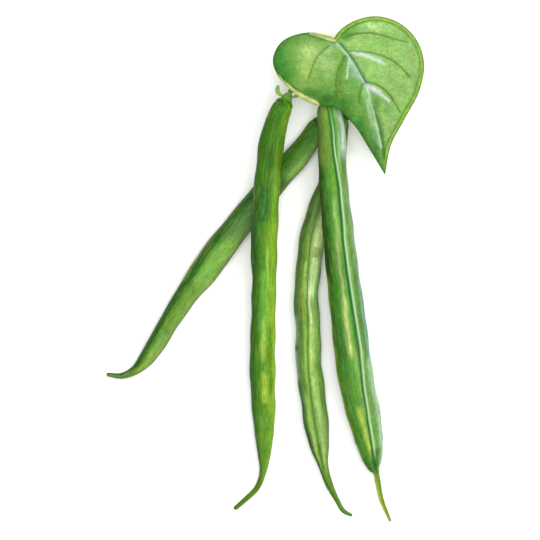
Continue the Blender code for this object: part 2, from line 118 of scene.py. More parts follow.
def add_node(tree: bpy.types.NodeTree, kind: str, links: dict | None = None, **settings) -> bpy.types.Node:
    """Add a shader node with its settings, its input values and its links.

    Args:
        tree: Node tree that gets the node.
        kind: Blender's name of the node type.
        links: For each input, by name or number, its value or the socket that feeds it.
        **settings: Properties of the node itself.

    Returns:
        The new node.
    """
    node = tree.nodes.new(kind)
    for key, value in settings.items():
        setattr(node, key, value)
    for key, value in (links or {}).items():
        if isinstance(value, bpy.types.NodeSocket):
            tree.links.new(value, node.inputs[key])
        else:
            node.inputs[key].default_value = value
    return node


def cubic_between(
    points: np.ndarray, slopes: np.ndarray, span: np.ndarray, t: np.ndarray,
    width: np.ndarray | float = 1.0,
) -> np.ndarray:
    """Read the cubic between neighbouring points that has given slopes at both.

    Args:
        points: The points that the curve goes through.
        slopes: The slope of the curve at each of them.
        span: For each reading, the number of the point before it.
        t: How far each reading lies from that point to the next, 0 to 1.
        width: Distance between the two points.

    Returns:
        One row of values for each reading.
    """
    near = (1 + 2 * t) * (1 - t) ** 2 * points[span] + t * (1 - t) ** 2 * width * slopes[span]
    far = t * t * (3 - 2 * t) * points[span + 1] + t * t * (t - 1) * width * slopes[span + 1]
    return near + far


class SmoothLine:
    """A cubic through stations of three coordinates and any further values.

    Between two stations the curve is a cubic whose slopes at both ends are
    those of the neighbouring chords, weighted by the chords' lengths.
    """

    def __init__(self, stations: Stations) -> None:
        """Work out the knots, as distances along the chords, and the slopes."""
        self.points = np.array(stations)
        steps = np.linalg.norm(np.diff(self.points[:, :3], axis=0), axis=1)
        self.knots = np.concatenate(([0.0], np.cumsum(steps)))
        self.slopes = np.gradient(self.points, self.knots, axis=0)

    @property
    def length(self) -> float:
        """Distance from the first station to the last along the chords."""
        return float(self.knots[-1])

    def read(self, places: np.ndarray) -> np.ndarray:
        """Read the curve at distances along it.

        Args:
            places: Distances from the first station.

        Returns:
            One row of values for each distance.
        """
        span = np.clip(np.searchsorted(self.knots, places, side="right") - 1, 0, len(self.knots) - 2)
        width = (self.knots[span + 1] - self.knots[span])[:, None]
        t = (places - self.knots[span])[:, None] / width
        return cubic_between(self.points, self.slopes, span, t, width)


def frames_along(line: np.ndarray) -> tuple[np.ndarray, np.ndarray, np.ndarray]:
    """Return the direction, the level side and the upright at each point of a line.

    The side is level and square to the direction. It is the picture's right
    for a line that runs down the picture, as a pod does from its neck.

    Args:
        line: Points along the middle of a piece, one row each.

    Returns:
        Three arrays of unit vectors, one row for each point.
    """
    along = np.gradient(line, axis=0)
    along /= np.linalg.norm(along, axis=1)[:, None]
    side = np.stack((-along[:, 1], along[:, 0], np.zeros(len(along))), axis=1)
    side /= np.linalg.norm(side, axis=1)[:, None]
    return along, side, np.cross(along, side)


def rings_along(
    line: np.ndarray, side: np.ndarray, upright: np.ndarray, out: np.ndarray, up: np.ndarray
) -> np.ndarray:
    """Stand a flat section on each point of a line, square to it.

    Args:
        line: Points along the middle, one row each.
        side: Level unit vectors across the line.
        upright: Unit vectors square to the line and to the side.
        out: How far each point of each section lies to the side.
        up: How far it lies along the upright.

    Returns:
        Points by section and place round it.
    """
    return line[:, None, :] + side[:, None, :] * out[:, :, None] + upright[:, None, :] * up[:, :, None]


def bell(distance: np.ndarray, half_width: float | np.ndarray, power: int = 2) -> np.ndarray:
    """Return 1 at no distance and e to the minus 1 at the half-width, with soft flanks."""
    return np.exp(-((distance / half_width) ** power))


def ramp(value: np.ndarray, start: float, length: float) -> np.ndarray:
    """Return 0 before the start and 1 from a length on; a length below zero leads backwards."""
    return np.clip((value - start) / length, 0, 1)


def rounded_end(run: np.ndarray) -> np.ndarray:
    """Return the share of the full width near an end: a quarter circle that stays a little open."""
    return np.sqrt(np.clip(1 - (1 - np.clip(run, 0, 1)) ** 2, 0.02, 1))


def waves(rng: np.random.Generator, places: np.ndarray, lengths: tuple[float, ...]) -> np.ndarray:
    """Sum of sines with random phases, one for each wave length, from -1 to 1.

    Args:
        rng: Source of the phases.
        places: Where the sum is read.
        lengths: Wave lengths, in the unit of the places.

    Returns:
        The sum at each place, divided by the number of waves.
    """
    phases = rng.uniform(0, 2 * np.pi, len(lengths))
    total = sum(np.sin(2 * np.pi * places / size + phase) for size, phase in zip(lengths, phases))
    return total / len(lengths)


def distance_to(line: np.ndarray, x: np.ndarray, y: np.ndarray) -> np.ndarray:
    """Distance to the nearest point of a line of short straights, seen from above.

    Args:
        line: (x, y) of the line's bends, one row each.
        x: Places across, in the unit of the line.
        y: Places along.

    Returns:
        Distances in the same unit.
    """
    start, step = line[:-1], np.diff(line, axis=0)
    place = np.stack((x, y), axis=-1)[..., None, :] - start
    along = np.clip((place * step).sum(axis=-1) / (step ** 2).sum(axis=-1), 0, 1)
    return np.linalg.norm(place - along[..., None] * step, axis=-1).min(axis=-1)


@dataclass
class Surface:
    """A mesh held as whole arrays, with named values at its points.

    Attributes:
        name: Name of the object that is built.
        points: Coordinates, one row for each point.
        quads: Corner numbers of the four-sided faces.
        triangles: Corner numbers of the three-sided faces.
        values: For each attribute name, one number, vector or colour for each point.
    """

    name: str
    points: np.ndarray
    quads: np.ndarray
    triangles: np.ndarray
    values: dict[str, np.ndarray] = field(default_factory=dict)

    def volume(self) -> float:
        """Volume inside the faces, below zero where they point inwards.

        Each triangle adds a sixth of the triple product of its corners.
        """
        halves = np.concatenate((self.quads[:, (0, 1, 2)], self.quads[:, (0, 2, 3)], self.triangles))
        a, b, c = (self.points[halves[:, i]] for i in range(3))
        return float(np.einsum("ij,ij->", a, np.cross(b, c)) / 6)

    def build(self) -> bpy.types.Object:
        """Make a smooth-shaded object at the origin, with its faces pointing out.

        Returns:
            The new object, linked to the scene.
        """
        if self.volume() < 0:
            self.quads = self.quads[:, ::-1]
            self.triangles = self.triangles[:, ::-1]
        mesh = bpy.data.meshes.new(self.name)
        corners = np.concatenate((self.quads.ravel(), self.triangles.ravel())).astype(np.int32)
        sizes = np.concatenate((np.full(len(self.quads), 4), np.full(len(self.triangles), 3)))
        starts = np.concatenate(([0], np.cumsum(sizes)[:-1])).astype(np.int32)
        mesh.vertices.add(len(self.points))
        mesh.vertices.foreach_set("co", self.points.astype(np.float32).ravel())
        mesh.loops.add(len(corners))
        mesh.loops.foreach_set("vertex_index", corners)
        mesh.polygons.add(len(sizes))
        mesh.polygons.foreach_set("loop_start", starts)
        for name, value in self.values.items():
            kind, key = ATTRIBUTE_KINDS[value.shape[1] if value.ndim == 2 else 1]
            mesh.attributes.new(name, kind, "POINT").data.foreach_set(key, value.astype(np.float32).ravel())
        mesh.update(calc_edges=True)
        mesh.shade_smooth()
        made = bpy.data.objects.new(self.name, mesh)
        bpy.context.scene.collection.objects.link(made)
        return made


def skin_rings(name: str, rings: np.ndarray, values: dict[str, np.ndarray]) -> Surface:
    """Skin rings of points into a closed surface with a pole at each end.

    Args:
        name: Name of the piece.
        rings: Points by ring and place round the ring.
        values: Attribute values by ring and place round the ring.

    Returns:
        The surface, whose last two points are the poles.
    """
    count, sides = rings.shape[:2]
    numbers = np.arange(count * sides).reshape(count, sides)
    turned = np.roll(numbers, -1, axis=1)
    quads = np.stack((numbers[:-1], turned[:-1], turned[1:], numbers[1:]), axis=-1).reshape(-1, 4)
    first, last = count * sides, count * sides + 1
    even = np.ones(sides, dtype=int)
    start_cap = np.stack((first * even, turned[0], numbers[0]), axis=-1)
    end_cap = np.stack((last * even, numbers[-1], turned[-1]), axis=-1)
    poles = rings[(0, -1), :, :].mean(axis=1)
    points = np.concatenate((rings.reshape(-1, 3), poles))
    flat = {}
    for key, value in values.items():
        ends = value[(0, -1), :].mean(axis=1)
        flat[key] = np.concatenate((value.reshape(count * sides, *value.shape[2:]), ends))
    return Surface(name, points, quads, np.concatenate((start_cap, end_cap)), flat)


@dataclass(frozen=True)
class Finish:
    """Fresh plant skin: what all the finishes of the cluster share.

    Attributes:
        name: Name of the material.
        roughness: Lowest and highest roughness.
        grain_mm: Width and length of the skin's fibres.
        relief_mm: Height of the fine relief in the skin.
        relief_strength: How plainly that relief shows, 0 to 1.
        gloss: Strength of the reflection, 0.5 for clear wax.
        refraction: How strongly the skin's wax bends light.
    """

    name: str
    roughness: tuple[float, float] = (0.36, 0.52)
    grain_mm: tuple[float, float] = (0.9, 13.0)
    relief_mm: float = 0.05
    relief_strength: float = 0.6
    gloss: float = 0.11
    refraction: float = 1.42

    def colour(self, tree: bpy.types.NodeTree, place: bpy.types.NodeSocket) -> bpy.types.NodeSocket:
        """Return the socket that gives the colour; each finish has its own."""
        raise NotImplementedError

    def grain(
        self, tree: bpy.types.NodeTree, place: bpy.types.NodeSocket, size: float, stretch: float = 1.0
    ) -> bpy.types.NodeSocket:
        """Return noise that is drawn out along the fibres.

        Args:
            tree: Node tree of the material.
            place: Socket with the place on the skin, its third value along the piece.
            size: Factor on the fibres' width and length.
            stretch: Further factor on their length alone.

        Returns:
            Socket with values from 0 to 1.
        """
        width = 1 / (MM * size * self.grain_mm[0])
        length = 1 / (MM * size * stretch * self.grain_mm[1])
        spread = add_node(tree, "ShaderNodeMapping", {"Vector": place, "Scale": (width, width, length)})
        noise = add_node(
            tree, "ShaderNodeTexNoise",
            {"Vector": spread.outputs[0], "Scale": 1.0, "Detail": 3.0, "Roughness": 0.55},
        )
        return noise.outputs["Fac"]

    def blotched(
        self, tree: bpy.types.NodeTree, place: bpy.types.NodeSocket, colour: bpy.types.NodeSocket
    ) -> bpy.types.NodeSocket:
        """Vary a colour: its brightness by fibres, blotches and specks, its hue by blotches.

        Args:
            tree: Node tree of the material.
            place: Socket with the place on the skin.
            colour: Socket with the colour.

        Returns:
            Socket with the varied colour.
        """
        # Size and stretch of the noise, then the lowest and highest factor.
        ranges = (
            (1.1, 0.8, 0.92, 1.09), (2.0, 0.22, 0.83, 1.16), (0.65, 0.18, 0.78, 1.20),
            (3.0, 0.22, 0.487, 0.513),
        )
        fibre, blotch, speck, hue = (
            add_node(
                tree, "ShaderNodeMapRange",
                {"Value": self.grain(tree, place, size, stretch), "From Min": 0.3, "From Max": 0.7,
                 "To Min": low, "To Max": high},
            ).outputs[0]
            for size, stretch, low, high in ranges
        )
        bright = fibre
        for factor in (blotch, speck):
            bright = add_node(tree, "ShaderNodeMath", {0: bright, 1: factor}, operation="MULTIPLY").outputs[0]
        return add_node(
            tree, "ShaderNodeHueSaturation", {"Hue": hue, "Value": bright, "Color": colour}
        ).outputs[0]

    def material(self) -> bpy.types.Material:
        """Build the material.

        Returns:
            A Principled material whose colour, roughness and relief follow the skin.
        """
        made = bpy.data.materials.new(self.name)
        made.use_nodes = True
        tree = made.node_tree
        shader = tree.nodes["Principled BSDF"]
        place = add_node(tree, "ShaderNodeAttribute", attribute_name="skin").outputs["Vector"]
        tree.links.new(self.colour(tree, place), shader.inputs["Base Color"])
        fibre = self.grain(tree, place, 0.55)
        rough = add_node(
            tree, "ShaderNodeMapRange",
            {"Value": fibre, "From Min": 0.3, "From Max": 0.7,
             "To Min": self.roughness[0], "To Max": self.roughness[1]},
        )
        tree.links.new(rough.outputs[0], shader.inputs["Roughness"])
        bump = add_node(
            tree, "ShaderNodeBump",
            {"Height": fibre, "Strength": self.relief_strength, "Distance": self.relief_mm * MM},
        )
        tree.links.new(bump.outputs[0], shader.inputs["Normal"])
        shader.inputs["IOR"].default_value = self.refraction
        shader.inputs["Specular IOR Level"].default_value = self.gloss
        return made


@dataclass(frozen=True)
class Stripe:
    """A long soft stripe on a pod, as it lies when seen from above.

    Stripes carry the pod's own streaks, painted highlights and painted shade.

    Attributes:
        start: Place across the pod where it begins, from -1 left to 1 right.
        end: Place across the pod where it ends.
        width: Half its width as a share of the pod's half-width.
        first: Share of the pod's length at which it begins.
        last: Share of the pod's length at which it ends.
        colour: Its colour as seen.
        strength: How much of what lies under it it covers, 0 to 1.
    """

    start: float
    end: float
    width: float
    first: float
    last: float
    colour: str
    strength: float = 0.8

    def cover(self, lean: np.ndarray, share: np.ndarray) -> np.ndarray:
        """How much the stripe covers: a bell across, with soft ends along.

        Args:
            lean: Place across the pod, -1 to 1.
            share: Share of the pod's length.

        Returns:
            Values from 0 to the strength.
        """
        run = ramp(share, self.first, self.last - self.first)
        middle = self.start + (self.end - self.start) * run
        ends = np.clip(STRIPE_END * np.sin(np.pi * run), 0, 1)
        return self.strength * bell(lean - middle, self.width) * ends


@dataclass(frozen=True)
class PodSkin(Finish):
    """Waxy green skin of a snap bean, with painted shade on its left and painted light on its right.

    The eye sees a dull gloss, greens that change from one edge of the pod to
    the other with painted shade and painted light, long pale and dark stripes
    with uneven edges, among them painted highlights and painted shade, and
    fine fibres.

    Attributes:
        across: Colours from the left edge, 0, to the right edge, 1: the pod's own greens,
        darker on the left with painted shade and lighter on the right with painted light.
        stripes: The long stripes, each over those before it: the pod's own streaks,
        painted highlights and painted shade.
        shade: Colour of the fine dark fibres.
        glow: Colour of the fine pale fibres.
        cord: Colour along the seam, as a painted highlight on a raised seam and as
        painted shade in a sunk one.
        cord_strength: How plain the seam is, 0 to 1.
        crease: Colour of the painted shade in the crease beside the seam.
        crease_strength: How plain that line is, 0 to 1.
        beak: Colour of the thin beak.
        beak_start: Share of the length at which that colour begins.
        beak_blend: Share of the length over which it comes in.
        beak_strength: How much of the pod's own colour it covers, 0 to 1.
    """

    across: tuple[tuple[float, str], ...] = ((0.0, "46702a"), (1.0, "8cb04a"))
    stripes: tuple[Stripe, ...] = ()
    shade: str = "3f6f20"
    glow: str = "b8d274"
    cord: str = "b4e8bc"
    cord_strength: float = 0.0
    crease: str = "245a38"
    crease_strength: float = 0.0
    beak: str = "5f8028"
    beak_start: float = 0.86
    beak_blend: float = 0.06
    beak_strength: float = 0.85

    def tint(self, lean: np.ndarray, share: np.ndarray, top: np.ndarray) -> np.ndarray:
        """Work out the skin's colour under its fibres, painted light and shade included.

        Args:
            lean: Place across the pod, -1 to 1.
            share: Share of the pod's length.
            top: 1 on the upper side, 0 on the underside.

        Returns:
            One linear colour for each point.
        """
        stops = [position for position, _ in self.across]
        codes = np.array([skin_colour(code) for _, code in self.across])
        layer = np.stack([np.interp(lean * 0.5 + 0.5, stops, codes[:, i]) for i in range(4)], axis=-1)
        tail = (self.beak_strength * ramp(share, self.beak_start, self.beak_blend))[..., None]
        layer = layer * (1 - tail) + tail * np.array(skin_colour(self.beak))
        for stripe in self.stripes:
            amount = (stripe.cover(lean, share) * top)[..., None]
            layer = layer * (1 - amount) + amount * np.array(skin_colour(stripe.colour))
        return layer

    def colour(self, tree: bpy.types.NodeTree, place: bpy.types.NodeSocket) -> bpy.types.NodeSocket:
        """Lay blotches, fibres, the crease's painted shade and the seam's colour over the skin's colour.

        Args:
            tree: Node tree of the material.
            place: Socket with the place on the skin.

        Returns:
            Socket with the finished colour.
        """
        shares = {
            name: add_node(tree, "ShaderNodeAttribute", attribute_name=name)
            for name in ("tint", "crease", "cord")
        }
        layer = self.blotched(tree, place, shares["tint"].outputs["Color"])
        # Size of the dark and of the pale fibres, and the most that each covers.
        dark, light = (
            add_node(
                tree, "ShaderNodeMapRange",
                {"Value": self.grain(tree, place, size, 0.7), "From Min": 0.5, "From Max": 0.75,
                 "To Max": most},
            ).outputs[0]
            for size, most in ((0.9, 0.35), (0.7, 0.25))
        )
        layers = (
            (dark, self.shade), (light, self.glow),
            (shares["crease"].outputs["Fac"], self.crease), (shares["cord"].outputs["Fac"], self.cord),
        )
        for amount, code in layers:
            layer = add_node(
                tree, "ShaderNodeMix", {0: amount, 6: layer, 7: skin_colour(code)}, data_type="RGBA"
            ).outputs[2]
        return layer


@dataclass(frozen=True)
class StemSkin(Finish):
    """Downy green skin of stalk and calyx, paler where it is youngest.

    The eye sees a dull soft surface with fine ribs and a change of green.

    Attributes:
        deep: Colour of the older parts.
        young: Colour of the younger parts.
    """

    deep: str = "4f8230"
    young: str = "9cc45c"

    def colour(self, tree: bpy.types.NodeTree, place: bpy.types.NodeSocket) -> bpy.types.NodeSocket:
        """Mix the two greens by the piece's own youth and by its grain.

        Args:
            tree: Node tree of the material.
            place: Socket with the place on the skin.

        Returns:
            Socket with the finished colour.
        """
        youth = add_node(tree, "ShaderNodeAttribute", attribute_name="youth").outputs["Fac"]
        grain = add_node(
            tree, "ShaderNodeMapRange",
            {"Value": self.grain(tree, place, 0.8), "From Min": 0.3, "From Max": 0.7,
             "To Min": -0.3, "To Max": 0.3},
        ).outputs[0]
        amount = add_node(
            tree, "ShaderNodeMath", {0: youth, 1: grain}, operation="ADD", use_clamp=True
        ).outputs[0]
        return add_node(
            tree, "ShaderNodeMix",
            {0: amount, 6: skin_colour(self.deep), 7: skin_colour(self.young)}, data_type="RGBA",
        ).outputs[2]


@dataclass(frozen=True)
class Stroke:
    """A soft line on the leaf, such as a vein, a painted highlight on a fold, or painted shade.

    Attributes:
        route: (x, y) in mm of its bends, seen from above.
        width: Half its width in mm.
        colour: Its colour as seen.
        strength: How much of what lies under it it covers, 0 to 1.
        rise: How far it lifts the blade in mm, below zero where it sinks.
        rise_width: Half the width in mm over which it does.
    """

    route: tuple[tuple[float, float], ...]
    width: float
    colour: str
    strength: float = 0.8
    rise: float = 0.0
    rise_width: float = 0.8

    def distance(self, x: np.ndarray, y: np.ndarray) -> np.ndarray:
        """Distance to the nearest point of the route.

        The route is read as a smooth line, and its pieces as short straights.

        Args:
            x: Places across in mm.
            y: Places along in mm.

        Returns:
            Distances in mm.
        """
        bends = tuple((*bend, 0.0) for bend in self.route)
        line = SmoothLine(bends)
        return distance_to(line.read(np.linspace(0, line.length, STROKE_READINGS))[:, :2], x, y)


@dataclass(frozen=True)
class Patch:
    """A soft oval patch of colour on the leaf, used for painted highlights and painted shade.

    Attributes:
        x: Place across in mm.
        y: Place along in mm.
        width: Half its width in mm.
        height: Half its height in mm.
        colour: Its colour as seen.
        strength: How much of what lies under it it covers, 0 to 1.
    """

    x: float
    y: float
    width: float
    height: float
    colour: str
    strength: float = 0.7

    def cover(self, x: np.ndarray, y: np.ndarray) -> np.ndarray:
        """How much the patch covers: a bell in both directions."""
        return self.strength * np.exp(-(((x - self.x) / self.width) ** 2 + ((y - self.y) / self.height) ** 2))


@dataclass(frozen=True)
class BladeSkin(Finish):
    """Thin bean leaf with a satin top and a pale dull underside.

    The eye sees soft patches of lighter and darker green between sunk veins,
    which are painted highlights and painted shade, a fine net, a yellow rim
    with a darker line inside it, and painted highlights along the folds. The
    right half is painted lighter and the left half darker, as light and shade.

    Attributes:
        right: Colour of the half to the right of the midrib, the leaf's green with painted light.
        left: Colour of the left half, the leaf's green with painted shade.
        edge: Colour of the painted shade on the left half near its margin.
        line: Colour of the line inside the rim.
        outline: Colour of the painted shade along the left margin, which runs along the
        inner edge of the curl where the margin curls.
        rim: Colour of the right margin.
        hem: Colour of the outermost line of the right margin.
        curl: Colour of the left margin where it curls up.
        under: Colour of the underside.
        net: Colour of the fine net.
        net_mm: Width of the meshes of the fine net.
        curl_below: x and y in mm, left of which and below which the lower margin curls.
        curl_notch: x and y in mm, right of which and above which the notch's margin curls.
        patches: Soft patches of colour: painted highlights where pale, painted shade where dark.
    """

    right: str = "9ccc70"
    left: str = "80b454"
    edge: str = "3f8030"
    line: str = "4f8a2c"
    outline: str = "34742a"
    rim: str = "a4ca40"
    hem: str = "6a8028"
    curl: str = "dde48c"
    under: str = "a3c46e"
    net: str = "6f9f4c"
    net_mm: float = 1.5
    curl_below: tuple[float, float] = (19.6, 71.5)
    curl_notch: tuple[float, float] = (15.5, 80.0)
    patches: tuple[Patch, ...] = ()

    def curl_width(self, x: np.ndarray, y: np.ndarray, hand: np.ndarray) -> np.ndarray:
        """Width in mm of the pale curled edge, which shows below the lobe and at the notch.

        Below the lobe it widens to 1.8 mm and fades out at both ends, and at
        the notch it widens to 1.3 mm.

        Args:
            x: Places across in mm.
            y: Places along in mm.
            hand: -1 on the left half and 1 on the right half.

        Returns:
            Widths, zero or less where the edge doesn't curl.
        """
        right_end, top_end = self.curl_below
        below = (0.5 + 1.3 * ramp(x, 4.0, 11.0)) * ramp(x, right_end, -1.5) * ramp(y, top_end, -2.0)
        left_end, low_end = self.curl_notch
        notch = np.where((y > low_end) & (x > left_end), 0.3 + ramp(x, left_end, 7.0), 0)
        return (hand < 0) * np.maximum(below, notch)

    def tint(
        self, x: np.ndarray, y: np.ndarray, hand: np.ndarray, to_margin: np.ndarray,
        strokes: tuple[Stroke, ...], near: tuple[np.ndarray, ...],
    ) -> np.ndarray:
        """Work out the blade's colour, with its painted light and shade.

        Args:
            x: Places across in mm.
            y: Places along in mm.
            hand: -1 on the left half and 1 on the right half.
            to_margin: Distances to the margin in mm.
            strokes: Veins, and painted highlights and shade along folds and midrib.
            near: For each stroke, the distances to it in mm.

        Returns:
            One linear colour for each point.
        """
        on_right = hand > 0
        curl = self.curl_width(x, y, hand)
        right, left = np.array(skin_colour(self.right)), np.array(skin_colour(self.left))
        # The right half is painted lighter and the left half darker, as light and shade.
        layer = np.where(on_right[..., None], right, left)
        covers = [(patch.cover(x, y), patch.colour) for patch in self.patches]
        # Painted shade on the left margin, darkest below the lobe, less at its top and towards the tip.
        shaded = np.where(y > 80, 0.5, 0.85) * np.clip((36 - x) / 6 + 1, 0.6, 1)
        covers.append((~on_right * shaded * bell(to_margin, 2.1), self.edge))
        covers += [
            (stroke.strength * bell(distance, stroke.width), stroke.colour)
            for stroke, distance in zip(strokes, near)
        ]
        # The lines that follow the margin: half, strength, distance from it and half-width in mm.
        covers += [
            (on_right * 0.8 * bell(to_margin - 1.45, 0.4), self.line),
            (on_right * 0.65 * bell(to_margin - 0.6, 0.55, 4), self.rim),
            (on_right * 0.95 * bell(to_margin, 0.48), self.hem),
            # Painted shade along the left margin, at the inner edge of its curl where it curls.
            (~on_right * 0.9 * bell(to_margin - curl, 0.45), self.outline),
            ((curl > 0) * 0.92 * np.clip((curl - to_margin) / 0.3 + 0.5, 0, 1), self.curl),
            ((curl > 0) * 0.5 * bell(to_margin, 0.25), self.hem),
        ]
        for amount, code in covers:
            share = np.clip(amount, 0, 1)[..., None]
            layer = layer * (1 - share) + share * np.array(skin_colour(code))
        return layer

    def colour(self, tree: bpy.types.NodeTree, place: bpy.types.NodeSocket) -> bpy.types.NodeSocket:
        """Lay the net and the brushed grain over the blade's colour, painted light included.

        Args:
            tree: Node tree of the material.
            place: Socket with the place on the blade.

        Returns:
            Socket with the finished colour.
        """
        tint = add_node(tree, "ShaderNodeAttribute", attribute_name="tint").outputs["Color"]
        under = add_node(tree, "ShaderNodeAttribute", attribute_name="under").outputs["Fac"]
        layer = self.blotched(tree, place, tint)
        cells = add_node(
            tree, "ShaderNodeTexVoronoi", {"Vector": place, "Scale": 1 / (self.net_mm * MM)},
            feature="DISTANCE_TO_EDGE",
        ).outputs["Distance"]
        mesh = add_node(
            tree, "ShaderNodeMapRange",
            {"Value": cells, "From Min": 0.02, "From Max": 0.14, "To Min": 0.16, "To Max": 0.0},
        ).outputs[0]
        for share, code in ((mesh, self.net), (under, self.under)):
            layer = add_node(
                tree, "ShaderNodeMix", {0: share, 6: layer, 7: skin_colour(code)}, data_type="RGBA"
            ).outputs[2]
        return layer


def dress(piece: bpy.types.Object, finish: Finish, node: str, slot: Skin) -> None:
    """Give a piece its finish and tie it to the frame.

    Args:
        piece: The finished object.
        finish: What it is made of.
        node: CAD node that it stands for.
        slot: Name of the piece's material slot; not used.
    """
    piece.data.materials.clear()
    piece.data.materials.append(finish.material())
    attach(piece, "root")
    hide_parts(node)
    faces = sum(len(face.vertices) - 2 for face in piece.data.polygons)
    log.info("%s replaces %s with %d triangles", piece.name, node, faces)


@dataclass
class Pod:
    """One pod with its neck, seed bulges, seam and thin beak.

    The section is an oval carried along a smooth line. Near the neck its
    half-width grows like a quarter of a circle, over the seeds it swells on
    both sides of the seam, and along the seam a fine ridge stands in a
    shallow valley. What would reach below the surface is pressed flat on it.

    Attributes:
        node: CAD node that the pod stands for.
        stations: (x, y, height of the middle, width) along the pod.
        flatness: Height of the section as a share of its width.
        seam: (share of the length, degrees from the top towards the right).
        finish: The pod's skin.
        ridge_mm: Height of the seam's ridge, below zero for a groove.
        cord_mm: Half the width of the colour along the seam.
        crease_mm: Depth of the crease beside the seam.
        crease_offset_mm: Distance from the seam to the crease.
        crease_width_mm: Half the width of the crease.
        cord_ends_mm: How far from the neck and from the tip the seam's colour ends.
        neck_radius: Radius of the neck.
        neck_length: Length of the neck.
        shoulder_length: Length over which the pod grows to its full width.
        valley_mm: Depth of the valley along the seam.
        ridge_angle: Half the width of the ridge, as an angle round the pod.
        valley_angle: Half the width of the valley.
        full_girth: Width of the pod from which on the relief has its full height.
        seed_pitch: Distance from seed to seed.
        seed_swell: Height of the swelling over a seed.
        seeds_start: Distance from the neck's end to the first seed.
        seeds_end: Distance from the last seed to the tip.
        bump_mm: Height of the irregular bumps.
        bump_waves: Wave lengths of the bumps.
        waver: How far the stripes waver across the pod, as a share of its half-width.
        waver_waves: Wave lengths of the wavering.
        tip_rounding: Length of the rounded tip.
        crowding: How much closer the points lie at the seam than at the sides.
        sides: Points round the section.
        rings: Rings along the body.
    """

    node: str
    stations: Stations
    flatness: float
    seam: Stations
    finish: PodSkin
    ridge_mm: float = 0.18
    cord_mm: float = 0.34
    crease_mm: float = 0.10
    crease_offset_mm: float = -0.72
    crease_width_mm: float = 0.34
    cord_ends_mm: tuple[float, float] = (5.0, 23.0)
    neck_radius: float = 1.3 * MM
    neck_length: float = 1.2 * MM
    shoulder_length: float = 3.5 * MM
    valley_mm: float = 0.16
    ridge_angle: float = math.radians(9)
    valley_angle: float = math.radians(26)
    full_girth: float = 8 * MM
    seed_pitch: float = 13.5 * MM
    seed_swell: float = 0.28 * MM
    seeds_start: float = 12 * MM
    seeds_end: float = 30 * MM
    bump_mm: float = 0.08
    bump_waves: tuple[float, ...] = (0.011, 0.017, 0.029)
    waver: float = 0.05
    waver_waves: tuple[float, ...] = (0.009, 0.021, 0.034)
    tip_rounding: float = 0.8 * MM
    crowding: float = 0.33
    sides: int = 104
    rings: int = 430

    def neck(self) -> tuple[np.ndarray, np.ndarray, np.ndarray, np.ndarray]:
        """Return the neck's end point, and its direction into the pod, side and upright."""
        line = SmoothLine(self.stations)
        points = line.read(np.linspace(0, line.length, NECK_READINGS))[:, :3]
        along, side, upright = frames_along(points)
        return points[0], along[0], side[0], upright[0]

    def shoulder(self, places: np.ndarray) -> np.ndarray:
        """Share of the full width that the pod has reached: a quarter circle."""
        return np.sqrt(1 - (1 - ramp(places, self.neck_length, self.shoulder_length)) ** 2)

    def places(self, length: float) -> np.ndarray:
        """Return the rings' distances: even, but closer on the shoulder and the tip.

        Args:
            length: Length of the pod.

        Returns:
            Distances from the neck's end, going up.
        """
        quarter = 1 - np.cos(np.linspace(0, np.pi / 2, 26))
        shoulder = self.neck_length + self.shoulder_length * quarter
        body = np.linspace(shoulder[-1], length - self.tip_rounding, self.rings)[1:]
        tip = length - self.tip_rounding * (1 - np.sin(np.linspace(0, np.pi / 2, 9)[1:]))
        return np.concatenate(([0.0, self.neck_length * 0.5], shoulder, body, tip))

    def build(self, rng: np.random.Generator) -> bpy.types.Object:
        """Build and dress the pod.

        Args:
            rng: Source of the small irregularities.

        Returns:
            The finished object.
        """
        line = SmoothLine(self.stations)
        places = self.places(line.length)
        middle = line.read(places)
        _, side, upright = frames_along(middle[:, :3])
        swell = self.shoulder(places)
        half_width = self.neck_radius + (middle[:, 3] / 2 - self.neck_radius) * swell
        half_width = half_width * rounded_end((line.length - places) / self.tip_rounding)
        half_height = half_width * (1 - (1 - self.flatness) * swell)

        even = np.linspace(0, 2 * np.pi, self.sides, endpoint=False)
        turns = even - self.crowding * np.sin(2 * even)
        signed = (turns + np.pi) % (2 * np.pi) - np.pi
        off_seam = signed[None, :] * (half_width[:, None] + half_height[:, None]) / 2 / MM
        girth = (np.clip(middle[:, 3] / self.full_girth, 0, 1) * swell)[:, None]
        ridge = bell(signed, self.ridge_angle)[None, :]
        valley = bell(signed, self.valley_angle)[None, :]
        crease = bell(off_seam - self.crease_offset_mm, self.crease_width_mm) * girth
        seeds = self.seed_wave(places, line.length)[:, None]
        bumps = waves(rng, places, self.bump_waves)[:, None] * np.cos(turns + rng.uniform(0, 6))[None, :]
        relief = MM * girth * (self.ridge_mm * ridge - self.valley_mm * valley - self.crease_mm * crease)
        relief = relief + self.seed_swell * seeds * np.sin(turns)[None, :] ** 2
        relief = relief + self.bump_mm * MM * bumps * girth

        shares, degrees = zip(*self.seam)
        seam_turn = np.radians(np.interp(places / line.length, shares, degrees))
        angle = turns[None, :] + seam_turn[:, None]
        out = (half_width[:, None] + relief) * np.sin(angle)
        up = (half_height[:, None] + relief) * np.cos(angle)
        rings = rings_along(middle[:, :3], side, upright, out, up)
        rings[:, :, 2] = np.maximum(rings[:, :, 2], 0.0)

        flow = np.broadcast_to(places[:, None], out.shape)
        waver = self.waver * waves(rng, places, self.waver_waves)[:, None]
        from_neck, from_tip = flow / MM, (line.length - flow) / MM
        plain = ramp(from_tip, self.cord_ends_mm[1], 5.0) * ramp(from_neck, self.cord_ends_mm[0], 12.0)
